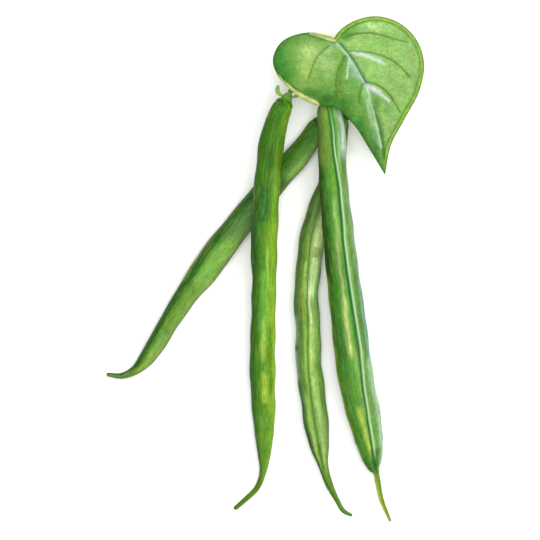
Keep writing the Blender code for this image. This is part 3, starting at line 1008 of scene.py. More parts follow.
        # The seam widens from 0.6 of its width at the neck to all of it 48 mm further on.
        cord_mm = self.cord_mm * np.clip(0.6 + from_neck / 120, 0.6, 1)
        values = {
            "skin": np.stack((out, up, flow), axis=-1),
            "tint": self.finish.tint(
                np.sin(angle) + waver, flow / line.length, np.clip(2 * np.cos(angle) + 0.5, 0, 1)
            ),
            "cord": self.finish.cord_strength * bell(off_seam, cord_mm) * plain,
            "crease": self.finish.crease_strength * crease * plain,
        }
        piece = skin_rings(self.node + "_skin", rings, values).build()
        dress(piece, self.finish, self.node, Skin.POD)
        return piece

    def seed_wave(self, places: np.ndarray, length: float) -> np.ndarray:
        """Swell over each seed: a raised cosine with one crest a seed.

        Args:
            places: Distances from the neck's end.
            length: Length of the pod.

        Returns:
            Values from 0 to 1, and 0 on the neck and the beak.
        """
        wave = 0.5 - 0.5 * np.cos(2 * np.pi * (places - self.seeds_start) / self.seed_pitch)
        inside = (places > self.seeds_start) & (places < length - self.seeds_end)
        return np.where(inside, wave, 0.0)


def join_pieces(pieces: list[bpy.types.Object]) -> bpy.types.Object:
    """Unite overlapping closed pieces into the first one.

    Args:
        pieces: Objects whose surfaces are closed and cross each other.

    Returns:
        The first object, with one outer surface.
    """
    body = pieces[0]
    group = bpy.data.collections.new(body.name + "_pieces")
    bpy.context.scene.collection.children.link(group)
    for piece in pieces[1:]:
        bpy.context.scene.collection.objects.unlink(piece)
        group.objects.link(piece)
    union = body.modifiers.new("union", "BOOLEAN")
    union.operation = "UNION"
    union.operand_type = "COLLECTION"
    union.collection = group
    union.solver = "EXACT"
    graph = bpy.context.evaluated_depsgraph_get()
    joined = bpy.data.meshes.new_from_object(body.evaluated_get(graph))
    body.modifiers.clear()
    body.data = joined
    for piece in pieces[1:]:
        bpy.data.objects.remove(piece, do_unlink=True)
    bpy.data.collections.remove(group)
    return body


@dataclass
class Stem:
    """A round or flat stem carried along a smooth line, with fine ribs.

    Attributes:
        name: Name of the piece.
        stations: (x, y, height of the middle, width) along the stem.
        thickness: Height of a flat section, or none for a round one.
        youth: How young the stem is at its start and its end, 0 to 1.
        ribs: Number of ribs round the stem.
        rib_share: Height of the ribs as a share of the half-width.
        sides: Points round the section.
        step: Distance between rings.
    """

    name: str
    stations: Stations
    thickness: float | None = None
    youth: tuple[float, float] = (0.2, 0.2)
    ribs: int = 5
    rib_share: float = 0.05
    sides: int = 30
    step: float = 0.25 * MM

    def build(self) -> bpy.types.Object:
        """Build the stem with rounded ends: both end rings close like half balls.

        Returns:
            The undressed object.
        """
        line = SmoothLine(self.stations)
        count = max(12, int(round(line.length / self.step)))
        places = np.linspace(0, line.length, count)
        middle = line.read(places)
        _, side, upright = frames_along(middle[:, :3])
        half_width = middle[:, 3] / 2
        half_width = half_width * rounded_end(np.minimum(places, line.length - places) / half_width)
        half_height = half_width if self.thickness is None else np.minimum(half_width, self.thickness / 2)
        turns = np.linspace(0, 2 * np.pi, self.sides, endpoint=False)
        ribs = 1 + self.rib_share * np.cos(self.ribs * turns)[None, :]
        out = half_width[:, None] * ribs * np.sin(turns)[None, :]
        up = half_height[:, None] * ribs * np.cos(turns)[None, :]
        rings = rings_along(middle[:, :3], side, upright, out, up)
        flow = np.broadcast_to(places[:, None], out.shape)
        values = {
            "skin": np.stack((out, up, flow), axis=-1),
            "youth": self.youth[0] + (self.youth[1] - self.youth[0]) * (flow / line.length),
        }
        return skin_rings(self.name, rings, values).build()


@dataclass
class Calyx:
    """Cup with five teeth round a pod's neck, with two small bracts.

    The cup is a profile turned round the neck. Its rim rises into teeth by a
    raised cosine, and lies just off the pod's shoulder.

    Attributes:
        node: CAD node that the calyx stands for.
        pod: The pod that it holds.
        bracts: (reach, dip, rise, width) of each bract.
        finish: Its skin.
        sides: Points round the cup.
        teeth: Number of teeth.
        base: Place of the cup's closed end, from the neck's end into the pod.
        base_radius: Radius of that end.
        wall: Thickness of the cup.
        rim: Distance from the neck's end to the rim between two teeth.
        tooth_length: How far a tooth reaches beyond that.
        gap: Space between the cup and the pod.
        bract_root: Place where the bracts grow out, before the neck's end.
        bract_root_width: Width of a bract there.
        bract_thickness: Thickness of a bract.
    """

    node: str
    pod: Pod
    bracts: Stations
    finish: StemSkin
    sides: int = 100
    teeth: int = 5
    base: float = -2.2 * MM
    base_radius: float = 0.95 * MM
    wall: float = 0.5 * MM
    rim: float = 1.0 * MM
    tooth_length: float = 1.3 * MM
    gap: float = 0.3 * MM
    bract_root: float = 1.0 * MM
    bract_root_width: float = 0.8 * MM
    bract_thickness: float = 0.55 * MM

    def profile(self, turns: np.ndarray) -> tuple[np.ndarray, np.ndarray]:
        """Return the cup's section at each turn, from the base over the rim to the pocket.

        The coarse profile's corners are rounded by reading a smooth line
        through them.

        Args:
            turns: Angles round the neck.

        Returns:
            Radius and distance into the pod, by step of the profile and turn.
        """
        tooth = (0.5 + 0.5 * np.cos(self.teeth * turns)) ** 1.3
        rim = self.rim + self.tooth_length * tooth
        body = self.pod.stations[0][3] / 2
        pod_radius = self.pod.neck_radius + (body - self.pod.neck_radius) * self.pod.shoulder(rim)
        inner = pod_radius + self.gap * 1.1
        wall = self.wall * (1 - 0.35 * tooth)
        pocket = self.pod.neck_radius + self.gap * 0.7
        outside = pocket + self.wall
        # Radius and distance into the pod: closed end, outer wall, rim and pocket.
        steps = (
            (0.8 * self.base_radius, self.base * 1.12),
            (self.base_radius, self.base * 0.95),
            (0.68 * outside, 0.62 * self.base),
            (0.93 * outside, 0.2 * self.base),
            (1.02 * outside, 0.35 * self.rim),
            (0.5 * (outside + inner + wall), 0.5 * (0.35 * self.rim + rim)),
            (inner + 0.8 * wall, rim - 0.06 * MM),
            (inner + 0.4 * wall, rim + 0.05 * MM),
            (inner, rim - 0.04 * MM),
            (pocket, 0.3 * self.rim),
            (pocket * 0.96, -self.gap),
        )
        coarse = np.array([np.broadcast_arrays(*step, turns)[:2] for step in steps])
        fine = np.linspace(0, len(steps) - 1, 4 * (len(steps) - 1) + 1)
        span = np.clip(fine.astype(int), 0, len(steps) - 2)
        t = (fine - span)[:, None, None]
        smooth = cubic_between(coarse, np.gradient(coarse, axis=0), span, t)
        return smooth[:, 0, :], smooth[:, 1, :]

    def bract(self, number: int, reach: float, dip: float, rise: float, width: float) -> bpy.types.Object:
        """Sweep one bract out of the cup's base and up beside the stem.

        It runs out by a quarter sine, dips by a half sine and rises by a
        square. Its blade is an oval on the outer two thirds.

        Args:
            number: Number of the bract.
            reach: How far it runs to the side, below zero to the left.
            dip: How far it dips towards the pod.
            rise: How far it rises along the stem.
            width: Width of its blade.

        Returns:
            The undressed object.
        """
        start, into_pod, side, upright = self.pod.neck()
        run = np.linspace(0.15, 1, 12)
        out = reach * np.sin(run * np.pi / 2)
        back = rise * run ** 2 - dip * np.sin(np.pi * run)
        line = start - into_pod * (self.bract_root + back)[:, None] + side * out[:, None]
        line = line + upright * (0.4 * MM * np.sin(np.pi * run))[:, None]
        leafy = np.sin(np.pi * np.clip((run - 0.32) / 0.72, 0, 1)) ** 0.7
        blade = self.bract_root_width * (1 - 0.3 * run) + (width - self.bract_root_width) * leafy
        stations = tuple(map(tuple, np.concatenate((line, blade[:, None]), axis=1).tolist()))
        stem = Stem(
            f"{self.node}_bract_{number}", stations, thickness=self.bract_thickness,
            youth=(0.5, 1.0), rib_share=0.0, sides=20,
        )
        return stem.build()

    def build(self) -> bpy.types.Object:
        """Build and dress the cup with its bracts.

        Returns:
            The finished object.
        """
        start, into_pod, side, upright = self.pod.neck()
        turns = np.linspace(0, 2 * np.pi, self.sides, endpoint=False)
        radius, depth = self.profile(turns)
        out, up = radius * np.sin(turns), radius * np.cos(turns)
        rings = start + into_pod * depth[:, :, None] + side * out[:, :, None] + upright * up[:, :, None]
        values = {
            "skin": np.stack((out, up, depth), axis=-1),
            "youth": np.clip(0.2 - depth / (5 * MM), 0, 1),
        }
        pieces = [skin_rings(self.node + "_cup", rings, values).build()]
        pieces += [self.bract(number, *bract) for number, bract in enumerate(self.bracts)]
        piece = join_pieces(pieces)
        dress(piece, self.finish, self.node, Skin.CALYX)
        return piece


@dataclass
class Stalk:
    """The short main stalk and the stems that run from it to the calyxes.

    Attributes:
        stations: (x, y, height, width) of the main stalk.
        stems: For each pod, the stem's own stations.
        calyxes: The calyx that each stem runs into.
        finish: Its skin.
        sink: How far each stem runs into its calyx.
        end_share: Width of a stem's end as a share of its calyx's base.
    """

    stations: Stations
    stems: tuple[Stations, ...]
    calyxes: tuple[Calyx, ...]
    finish: StemSkin
    sink: float = 0.4 * MM
    end_share: float = 0.85

    def build(self) -> bpy.types.Object:
        """Build and dress the stalk; each stem ends a little inside its calyx.

        Returns:
            The finished object.
        """
        pieces = [Stem("stalk_skin", self.stations, youth=(0.3, 0.1)).build()]
        for number, (stations, calyx) in enumerate(zip(self.stems, self.calyxes)):
            start, into_pod, _, _ = calyx.pod.neck()
            end = start + into_pod * (calyx.base + self.sink)
            whole = stations + ((*end.tolist(), 2 * calyx.base_radius * self.end_share),)
            pieces.append(Stem(f"stem_{number}", whole, youth=(0.2, 0.45)).build())
        piece = join_pieces(pieces)
        dress(piece, self.finish, "stalk", Skin.STALK)
        return piece


@dataclass
class Leaf:
    """Heart-shaped blade on a grid of rows across it and columns along it.

    A row runs from the left margin to the midrib and on to the right margin.
    The first rows fan out from the notch over the two lobes, and the others
    leave the midrib further and further down. Each half row bows away from
    the tip. The blade arches between midrib and margin, sinks along its side
    veins and has its midrib in a furrow.

    Attributes:
        right_margin: (x, y, height) from the notch to the tip round the right.
        left_margin: The same round the left.
        midrib: The same along the middle.
        finish: The blade's skin.
        strokes: The veins, and the painted highlights and shade along folds and midrib, drawn on it.
        right_veins: Shares of the right margin towards which its side veins run.
        left_veins: The same on the left.
        lobe_shares: Shares of the left and the right margin that the lobes take.
        rib_start: Share of the margin from which on the midrib stands out below.
        spacing_power: How much closer together the rows leave the midrib at its start.
        full_width: Width of a half row from which on bow, arch and veins are full.
        vein_bow: How far a half row bows away from the tip.
        vein_depth: Depth of a side vein.
        vein_half_share: Half its width as a share of the margin.
        midrib_depth: Depth of the midrib's furrow.
        midrib_half_width: Half the width of the furrow.
        rib_height: How far the midrib stands out below.
        rib_half_width_mm: Half its width there.
        arch: Height of the arch between midrib and margin.
        curl_rise: How far the curled edge rises.
        calm_margin_mm: Distance from the margin within which the strokes rise less.
        thickness: Thickness of the blade.
        trim: How much shorter each half row is than the solid's.
        weld_distance: Points closer than this become one.
        lobe_rows: Rows in each lobe.
        body_rows: Rows below the lobes.
        columns: Columns in each half.
    """

    right_margin: Stations
    left_margin: Stations
    midrib: Stations
    finish: BladeSkin
    strokes: tuple[Stroke, ...] = ()
    right_veins: tuple[float, ...] = (0.425, 0.60, 0.75)
    left_veins: tuple[float, ...] = (0.55, 0.679, 0.786, 0.893)
    lobe_shares: tuple[float, float] = (0.40, 0.30)
    rib_start: float = 0.3
    spacing_power: float = 2.3
    full_width: float = 20 * MM
    vein_bow: float = 2.8 * MM
    vein_depth: float = 0.55 * MM
    vein_half_share: float = 0.032
    midrib_depth: float = 0.8 * MM
    midrib_half_width: float = 1.6 * MM
    rib_height: float = 0.45 * MM
    rib_half_width_mm: float = 0.7
    arch: float = 2.1 * MM
    curl_rise: float = 0.3 * MM
    calm_margin_mm: float = 2.5
    thickness: float = 0.5 * MM
    trim: float = 0.12 * MM
    weld_distance: float = 0.002 * MM
    lobe_rows: int = 70
    body_rows: int = 190
    columns: int = 52

    def half(self, hand: Hand) -> dict[str, np.ndarray]:
        """Work out one half of the upper face.

        Args:
            hand: Which half.

        Returns:
            The rows of points from midrib to margin, and for each point
            whether the midrib stands out below it, the distances in mm to
            midrib and margin, and which half it is on.
        """
        right = hand is Hand.RIGHT
        margin = SmoothLine(self.right_margin if right else self.left_margin)
        middle = SmoothLine(self.midrib)
        lobe_share = self.lobe_shares[1 if right else 0]
        veins = np.array(self.right_veins if right else self.left_veins)
        lobe = np.linspace(0, lobe_share, self.lobe_rows, endpoint=False)
        row = np.concatenate((lobe * 0, np.linspace(0, 1, self.body_rows + 1)))
        share = np.concatenate((lobe, lobe_share + (1 - lobe_share) * row[self.lobe_rows:]))
        inner = middle.read(row ** self.spacing_power * middle.length)
        outer = margin.read(share * margin.length)
        t = np.linspace(0, 1, self.columns + 1)
        hump = 4 * t * (1 - t)
        across = outer - inner
        width = np.linalg.norm(across[:, :2], axis=1)
        square = np.stack((across[:, 1], -across[:, 0], np.zeros(len(across))), axis=1)
        square /= np.maximum(width, 1e-6)[:, None]
        fade = np.sqrt(np.abs(np.sin(np.pi * share)))
        size = np.clip(width / self.full_width, 0, 1)
        bow = -hand.value * self.vein_bow * fade * size
        rows = inner[:, None, :] + across[:, None, :] * t[None, :, None]
        rows += square[:, None, :] * (bow[:, None] * hump)[:, :, None]
        near = np.min(np.abs(share[:, None] - veins[None, :]), axis=1)
        groove = bell(near, self.vein_half_share)
        sunk = self.vein_depth * (groove * size)[:, None] * np.sin(np.pi * t) ** 0.5
        off_midrib = width[:, None] * t
        furrow = np.sqrt(np.abs(np.sin(np.pi * row)))[:, None] * bell(off_midrib, self.midrib_half_width)
        rows[:, :, 2] += self.arch * size[:, None] * hump - sunk - self.midrib_depth * furrow
        keep = 1 - self.trim / np.maximum(width, 0.5 * MM)
        rows = inner[:, None, :] + (rows - inner[:, None, :]) * keep[:, None, None]
        outline = rows[:, -1, :2]
        # The lobes' rows all start at the notch, so the midrib is left behind sooner on them.
        return {
            "rows": rows,
            "ribbed": np.broadcast_to((share > self.rib_start)[:, None], (len(share), len(t))),
            "off_midrib": off_midrib / MM + (row == 0)[:, None] * 3 * t[None, :],
            "to_margin": distance_to(outline, rows[:, :, 0], rows[:, :, 1]) / MM,
            "hand": np.full((len(share), len(t)), hand.value),
        }

    def build(self) -> bpy.types.Object:
        """Build and dress the blade.

        The underside is the upper face moved straight down by the thickness,
        and the midrib stands out from it.

        Returns:
            The finished object.
        """
        halves = {hand: self.half(hand) for hand in Hand}
        grid = {
            key: np.concatenate((halves[Hand.LEFT][key][:, :0:-1], halves[Hand.RIGHT][key]), axis=1)
            for key in halves[Hand.LEFT]
        }
        top = grid["rows"]
        x_mm, y_mm = top[:, :, 0] / MM, top[:, :, 1] / MM
        near = tuple(stroke.distance(x_mm, y_mm) for stroke in self.strokes)
        inside = np.clip(grid["to_margin"] / self.calm_margin_mm, 0, 1)
        for stroke, distance in zip(self.strokes, near):
            top[:, :, 2] += stroke.rise * MM * bell(distance, stroke.rise_width) * inside
        curl = self.finish.curl_width(x_mm, y_mm, grid["hand"])
        top[:, :, 2] += self.curl_rise * np.clip(curl - grid["to_margin"], 0, 1)
        bottom = top.copy()
        rib = bell(grid["off_midrib"], self.rib_half_width_mm) * grid["ribbed"]
        bottom[:, :, 2] -= self.thickness + self.rib_height * rib
        rows, columns = top.shape[:2]
        numbers = np.arange(rows * columns).reshape(rows, columns)
        below = numbers + rows * columns
        faces = (
            np.stack((numbers[:-1, :-1], numbers[1:, :-1], numbers[1:, 1:], numbers[:-1, 1:]), axis=-1),
            np.stack((below[:-1, :-1], below[:-1, 1:], below[1:, 1:], below[1:, :-1]), axis=-1),
            np.stack((numbers[:-1, 0], below[:-1, 0], below[1:, 0], numbers[1:, 0]), axis=-1),
            np.stack((numbers[:-1, -1], numbers[1:, -1], below[1:, -1], below[:-1, -1]), axis=-1),
        )
        quads = np.concatenate([part.reshape(-1, 4) for part in faces])
        tint = self.finish.tint(
            x_mm, y_mm, grid["hand"], grid["to_margin"], self.strokes, near
        ).reshape(-1, 4)
        skin = np.stack((top[:, :, 0], top[:, :, 2], top[:, :, 1]), axis=-1).reshape(-1, 3)
        both = {
            "tint": np.concatenate((tint, tint)),
            "skin": np.concatenate((skin, skin)),
            "under": np.repeat((0.0, 1.0), rows * columns),
        }
        points = np.concatenate((top.reshape(-1, 3), bottom.reshape(-1, 3)))
        surface = Surface("leaf_blade", points, quads, np.empty((0, 3), dtype=int), both)
        piece = surface.build()
        self.weld(piece)
        dress(piece, self.finish, "leaf", Skin.BLADE)
        return piece

    def weld(self, piece: bpy.types.Object) -> None:
        """Merge the rows that shrink to one point at the notch and the tip.

        Args:
            piece: The blade, whose mesh is changed.
        """
        weld = piece.modifiers.new("weld", "WELD")
        weld.merge_threshold = self.weld_distance
        graph = bpy.context.evaluated_depsgraph_get()
        welded = bpy.data.meshes.new_from_object(piece.evaluated_get(graph))
        piece.modifiers.clear()
        piece.data = welded


@dataclass
class Studio:
    """Plain pale floor, soft light from above and the upper right, camera from above.

    Attributes:
        centre: Point of the floor that the picture is centred on.
        picture_width: Width of the picture at the height of the pods' middles.
        lens: Focal length in mm, long so that high pieces keep their size.
        sensor: Width of the sensor in mm.
        level: Height at which the picture has its stated width.
        floor_size: Length of the floor's side.
        paper: Colour of the floor.
        lights: Name, place, length of the side and watts of each square light.
        sky: Strength of the even white light all round.
    """

    centre: tuple[float, float] = (1.4 * MM, 0.0 * MM)
    picture_width: float = 194.4 * MM
    lens: float = 800.0
    sensor: float = 36.0
    level: float = 8 * MM
    floor_size: float = 3.0
    paper: str = "fdfdfb"
    lights: tuple[tuple[str, tuple[float, float, float], float, float], ...] = (
        ("key", (0.55, 0.35, 0.75), 0.5, 5.0),
        ("fill", (-0.02, 0.02, 1.0), 0.7, 6.5),
    )
    sky: float = 0.7

    def build_floor(self) -> bpy.types.Object:
        """Lay a plain sheet of white drawing paper, which is stage and not part.

        Returns:
            The floor.
        """
        half = self.floor_size / 2
        corners = [(-half, -half, 0), (half, -half, 0), (half, half, 0), (-half, half, 0)]
        mesh = bpy.data.meshes.new("floor")
        mesh.from_pydata(corners, [], [(0, 1, 2, 3)])
        floor = bpy.data.objects.new("floor", mesh)
        bpy.context.scene.collection.objects.link(floor)
        paper = bpy.data.materials.new("drawing_paper")
        paper.use_nodes = True
        shader = paper.node_tree.nodes["Principled BSDF"]
        shader.inputs["Base Color"].default_value = linear_colour(self.paper)
        shader.inputs["Roughness"].default_value = 0.9
        shader.inputs["Specular IOR Level"].default_value = 0.1
        mesh.materials.append(paper)
        return floor

    def add_light(self, name: str, place: tuple[float, float, float], size: float, power: float) -> None:
        """Add a square soft light that faces the cluster.

        Args:
            name: Name of the light.
            place: Where it stands.
            size: Length of its side.
            power: Watts.
        """
        data = bpy.data.lights.new(name, "AREA")
        data.size = size
        data.energy = power
        lamp = bpy.data.objects.new(name, data)
        lamp.location = place
        back = np.array(place) / np.linalg.norm(place)
        lamp.rotation_euler = (math.acos(back[2]), 0, math.atan2(back[0], -back[1]))
        bpy.context.scene.collection.objects.link(lamp)

    def build_camera(self) -> None:
        """Hang the camera straight above, looking down with the leaf at the top."""
        data = bpy.data.cameras.new("camera")
        data.lens = self.lens
        data.sensor_width = self.sensor
        data.clip_start = 0.01
        data.clip_end = 20
        camera = bpy.data.objects.new("camera", data)
        height = self.picture_width * self.lens / self.sensor + self.level
        camera.location = (*self.centre, height)
        bpy.context.scene.collection.objects.link(camera)
        bpy.context.scene.camera = camera

    def build(self) -> None:
        """Set up floor, lights, surroundings and camera."""
        self.build_floor()
        for light in self.lights:
            self.add_light(*light)
        world = bpy.data.worlds.new("studio")
        world.use_nodes = True
        sky = world.node_tree.nodes["Background"]
        sky.inputs["Color"].default_value = (1, 1, 1, 1)
        sky.inputs["Strength"].default_value = self.sky
        bpy.context.scene.world = world
        bpy.context.scene.view_settings.view_transform = "Standard"
        self.build_camera()


LEFT_LINE: Stations = (
    (0.0075, 0.0617, 0.0132, 0.0070),
    (0.0051, 0.0567, 0.0133, 0.0076),
    (0.0028, 0.0495, 0.0133, 0.0087),
    (0.0009, 0.0376, 0.0131, 0.0088),
    (-0.0001, 0.0236, 0.0125, 0.0093),
    (-0.0007, 0.0124, 0.0112, 0.0095),
    (-0.0007, -0.0049, 0.0091, 0.0085),
    (-0.0012, -0.0236, 0.0068, 0.0087),
    (-0.0013, -0.0355, 0.0050, 0.0090),
    (-0.0010, -0.0477, 0.0032, 0.0083),
    (-0.0007, -0.0585, 0.0028, 0.0069),
    (-0.0007, -0.0671, 0.0026, 0.0045),
    (-0.0011, -0.0725, 0.0025, 0.0026),
    (-0.0034, -0.0787, 0.0024, 0.0020),
    (-0.0068, -0.0821, 0.0022, 0.0018),
    (-0.0115, -0.0862, 0.0020, 0.0015),
)
SLANTING_LINE: Stations = (
    (0.0207, 0.0545, 0.0056, 0.0060),
    (0.0189, 0.0520, 0.0050, 0.0070),
    (0.0157, 0.0470, 0.0044, 0.0077),
    (0.0116, 0.0414, 0.0041, 0.0086),
    (0.0052, 0.0342, 0.0041, 0.0090),
    (-0.0027, 0.0250, 0.0041, 0.0094),
    (-0.0106, 0.0153, 0.0041, 0.0095),
    (-0.0185, 0.0050, 0.0041, 0.0104),
    (-0.0225, -0.0007, 0.0041, 0.0101),
    (-0.0271, -0.0068, 0.0041, 0.0085),
    (-0.0346, -0.0182, 0.0038, 0.0070),
    (-0.0408, -0.0286, 0.0035, 0.0064),
    (-0.0439, -0.0329, 0.0033, 0.0052),
    (-0.0468, -0.0358, 0.0031, 0.0036),
    (-0.0520, -0.0381, 0.0030, 0.0022),
    (-0.0576, -0.0376, 0.0032, 0.0014),
)
MIDDLE_LINE: Stations = (
    (0.0272, 0.0567, 0.0048, 0.0055),
    (0.0266, 0.0524, 0.0044, 0.0063),
    (0.0256, 0.0473, 0.0042, 0.0074),
    (0.0247, 0.0412, 0.0041, 0.0083),
    (0.0232, 0.0308, 0.0041, 0.0088),
    (0.0194, 0.0211, 0.0041, 0.0090),
    (0.0166, 0.0103, 0.0039, 0.0091),
    (0.0153, 0.0005, 0.0036, 0.0086),
    (0.0144, -0.0103, 0.0039, 0.0086),
    (0.0151, -0.0200, 0.0039, 0.0087),
    (0.0154, -0.0344, 0.0035, 0.0090),
    (0.0171, -0.0470, 0.0038, 0.0089),
    (0.0184, -0.0578, 0.0037, 0.0083),
    (0.0194, -0.0643, 0.0032, 0.0067),
    (0.0203, -0.0693, 0.0029, 0.0041),
    (0.0232, -0.0783, 0.0026, 0.0026),
    (0.0256, -0.0830, 0.0025, 0.0018),
    (0.0279, -0.0868, 0.0024, 0.0016),
    (0.0311, -0.0886, 0.0026, 0.0011),
)
RIGHT_LINE: Stations = (
    (0.0220, 0.0617, 0.0129, 0.0074),
    (0.0226, 0.0572, 0.0129, 0.0087),
    (0.0236, 0.0509, 0.0129, 0.0095),
    (0.0238, 0.0394, 0.0129, 0.0099),
    (0.0244, 0.0286, 0.0126, 0.0103),
    (0.0257, 0.0164, 0.0114, 0.0108),
    (0.0275, -0.0009, 0.0096, 0.0115),
    (0.0297, -0.0182, 0.0077, 0.0123),
    (0.0315, -0.0340, 0.0059, 0.0126),
    (0.0333, -0.0441, 0.0049, 0.0123),
    (0.0353, -0.0527, 0.0041, 0.0117),
    (0.0365, -0.0585, 0.0038, 0.0106),
    (0.0376, -0.0643, 0.0034, 0.0089),
    (0.0384, -0.0689, 0.0032, 0.0066),
    (0.0389, -0.0712, 0.0031, 0.0045),
    (0.0396, -0.0728, 0.0031, 0.0025),
    (0.0402, -0.0760, 0.0030, 0.0021),
    (0.0413, -0.0819, 0.0028, 0.0018),
    (0.0448, -0.0907, 0.0026, 0.0010),
)
STALK_LINE: Stations = (
    (0.0247, 0.0617, 0.0078, 0.0026),
    (0.0254, 0.0653, 0.0093, 0.0027),
    (0.0263, 0.0697, 0.0106, 0.0027),
    (0.0275, 0.0740, 0.0114, 0.0028),
    (0.0292, 0.0776, 0.0120, 0.0029),
    (0.0301, 0.0792, 0.0122, 0.0029),
)
LEFT_STEM: Stations = (
    (0.0266, 0.0712, 0.0109, 0.0020),
    (0.0196, 0.0707, 0.0129, 0.0017),
    (0.0135, 0.0693, 0.0139, 0.0016),
    (0.0099, 0.0665, 0.0136, 0.0015),
)
SLANTING_STEM: Stations = (
    (0.0252, 0.0640, 0.0088, 0.0020),
    (0.0246, 0.0615, 0.0079, 0.0017),
    (0.0234, 0.0589, 0.0069, 0.0015),
)
MIDDLE_STEM: Stations = (
    (0.0256, 0.0660, 0.0095, 0.0020),
    (0.0269, 0.0633, 0.0074, 0.0017),
    (0.0276, 0.0609, 0.0055, 0.0015),
)
RIGHT_STEM: Stations = (
    (0.0264, 0.0702, 0.0107, 0.0020),
    (0.0239, 0.0689, 0.0121, 0.0017),
    (0.0222, 0.0665, 0.0128, 0.0015),
)
LEAF_STALK_LINE: Stations = (
    (0.0282, 0.0745, 0.0122, 0.0020),
    (0.0284, 0.0757, 0.0149, 0.0018),
    (0.0270, 0.0777, 0.0165, 0.0018),
    (0.0262, 0.0792, 0.0178, 0.0024),
    (0.0257, 0.0801, 0.0190, 0.0024),
)
RIGHT_MARGIN: Stations = (
    (0.0245, 0.0832, 0.0206),
    (0.0272, 0.0866, 0.0206),
    (0.0315, 0.0894, 0.0202),
    (0.0391, 0.0912, 0.0190),
    (0.0476, 0.0890, 0.0168),
    (0.0545, 0.0823, 0.0146),
    (0.0569, 0.0747, 0.0132),
    (0.0553, 0.0646, 0.0122),
    (0.0499, 0.0542, 0.0108),
    (0.0450, 0.0448, 0.0078),
    (0.0429, 0.0340, 0.0034),
)
LEFT_MARGIN: Stations = (
    (0.0245, 0.0832, 0.0206),
    (0.0185, 0.0844, 0.0206),
    (0.0113, 0.0847, 0.0200),
    (0.0049, 0.0814, 0.0186),
    (0.0023, 0.0751, 0.0174),
    (0.0041, 0.0697, 0.0170),
    (0.0077, 0.0655, 0.0172),
    (0.0178, 0.0591, 0.0182),
    (0.0243, 0.0584, 0.0184),
    (0.0311, 0.0525, 0.0150),
    (0.0370, 0.0437, 0.0088),
    (0.0429, 0.0340, 0.0034),
)
MIDRIB: Stations = (
    (0.0245, 0.0832, 0.0206),
    (0.0298, 0.0764, 0.0212),
    (0.0352, 0.0672, 0.0206),
    (0.0393, 0.0578, 0.0176),
    (0.0418, 0.0454, 0.0108),
    (0.0429, 0.0340, 0.0034),
)
WIDE_BRACTS: Stations = ((-0.0048, 0.0012, 0.0020, 0.0018), (0.0034, 0.0, 0.0036, 0.0014))
CLOSE_BRACTS: Stations = ((-0.0018, 0.0003, 0.0026, 0.0013), (0.0018, 0.0003, 0.0026, 0.0013))


LEFT_SEAM: Stations = ((0.0, 12), (1.0, 12))
SLANTING_SEAM: Stations = ((0.0, -50), (1.0, -50))
MIDDLE_SEAM: Stations = (
    (0.0, -9), (0.3, -9), (0.37, -3), (0.455, 7), (0.52, -2), (0.6, -3), (0.69, -10), (0.79, -6), (1.0, 0),
)
RIGHT_SEAM: Stations = (
    (0.0, 0), (0.055, 4), (0.105, 7), (0.16, 20), (0.21, 29), (0.27, 27), (0.33, 22), (0.5, 26),
    (0.585, 32), (0.62, 30), (0.68, 24), (0.76, 16), (1.0, 18),
)
ROUND_FLATNESS = 0.86
BROAD_FLATNESS = 0.76

# Across each pod the greens are painted darker on the left side as shade and lighter towards the right as
# light.
LEFT_SKIN = PodSkin(
    "left_pod_skin",
    across=(
        (0.0, "3a6428"), (0.1, "3c6c22"), (0.24, "4a8226"), (0.45, "529028"), (0.66, "74a830"),
        (0.85, "8cc034"), (1.0, "90b040"),
    ),
    stripes=(
        Stripe(-0.1, 0.0, 1.0, -0.05, 0.30, "437520", 0.8),
        Stripe(-0.05, -0.05, 0.40, 0.21, 0.30, "2f7034", 0.75),
        # Painted shade on the left edge.
        Stripe(-0.80, -0.75, 0.32, 0.26, 0.42, "2f5f34", 0.7),
        Stripe(0.15, 0.15, 0.25, 0.12, 0.17, "2f6a1c", 0.6),
        Stripe(0.86, 0.88, 0.2, 0.0, 0.30, "6c9c26", 0.75),
        Stripe(0.70, 0.75, 0.3, 0.08, 0.17, "467a18", 0.7),
        Stripe(0.55, 0.60, 0.25, 0.17, 0.28, "7ab040", 0.6),
        # Pale streaks over the seeds: their own paler green with painted highlights.
        Stripe(0.25, 0.30, 0.15, 0.35, 0.46, "b0dc58", 0.85),
        Stripe(0.35, 0.30, 0.20, 0.43, 0.54, "a8d850", 0.7),
        Stripe(-0.05, 0.05, 0.32, 0.40, 0.56, "74bc48", 0.7),
        Stripe(0.04, 0.06, 0.22, 0.52, 0.63, "acd858", 0.8),
        Stripe(0.60, 0.60, 0.20, 0.52, 0.72, "5a8e20", 0.7),
        # Painted light along the right edge.
        Stripe(0.94, 0.94, 0.14, 0.40, 0.80, "a8dc44", 0.8),
        Stripe(0.15, 0.18, 0.26, 0.645, 0.73, "b8d44c", 0.95),
        Stripe(0.0, 0.0, 0.8, 0.74, 0.90, "6a9e34", 0.6),
        Stripe(-0.8, -0.7, 0.45, 0.86, 1.10, "4a741e", 0.7),
    ),
)
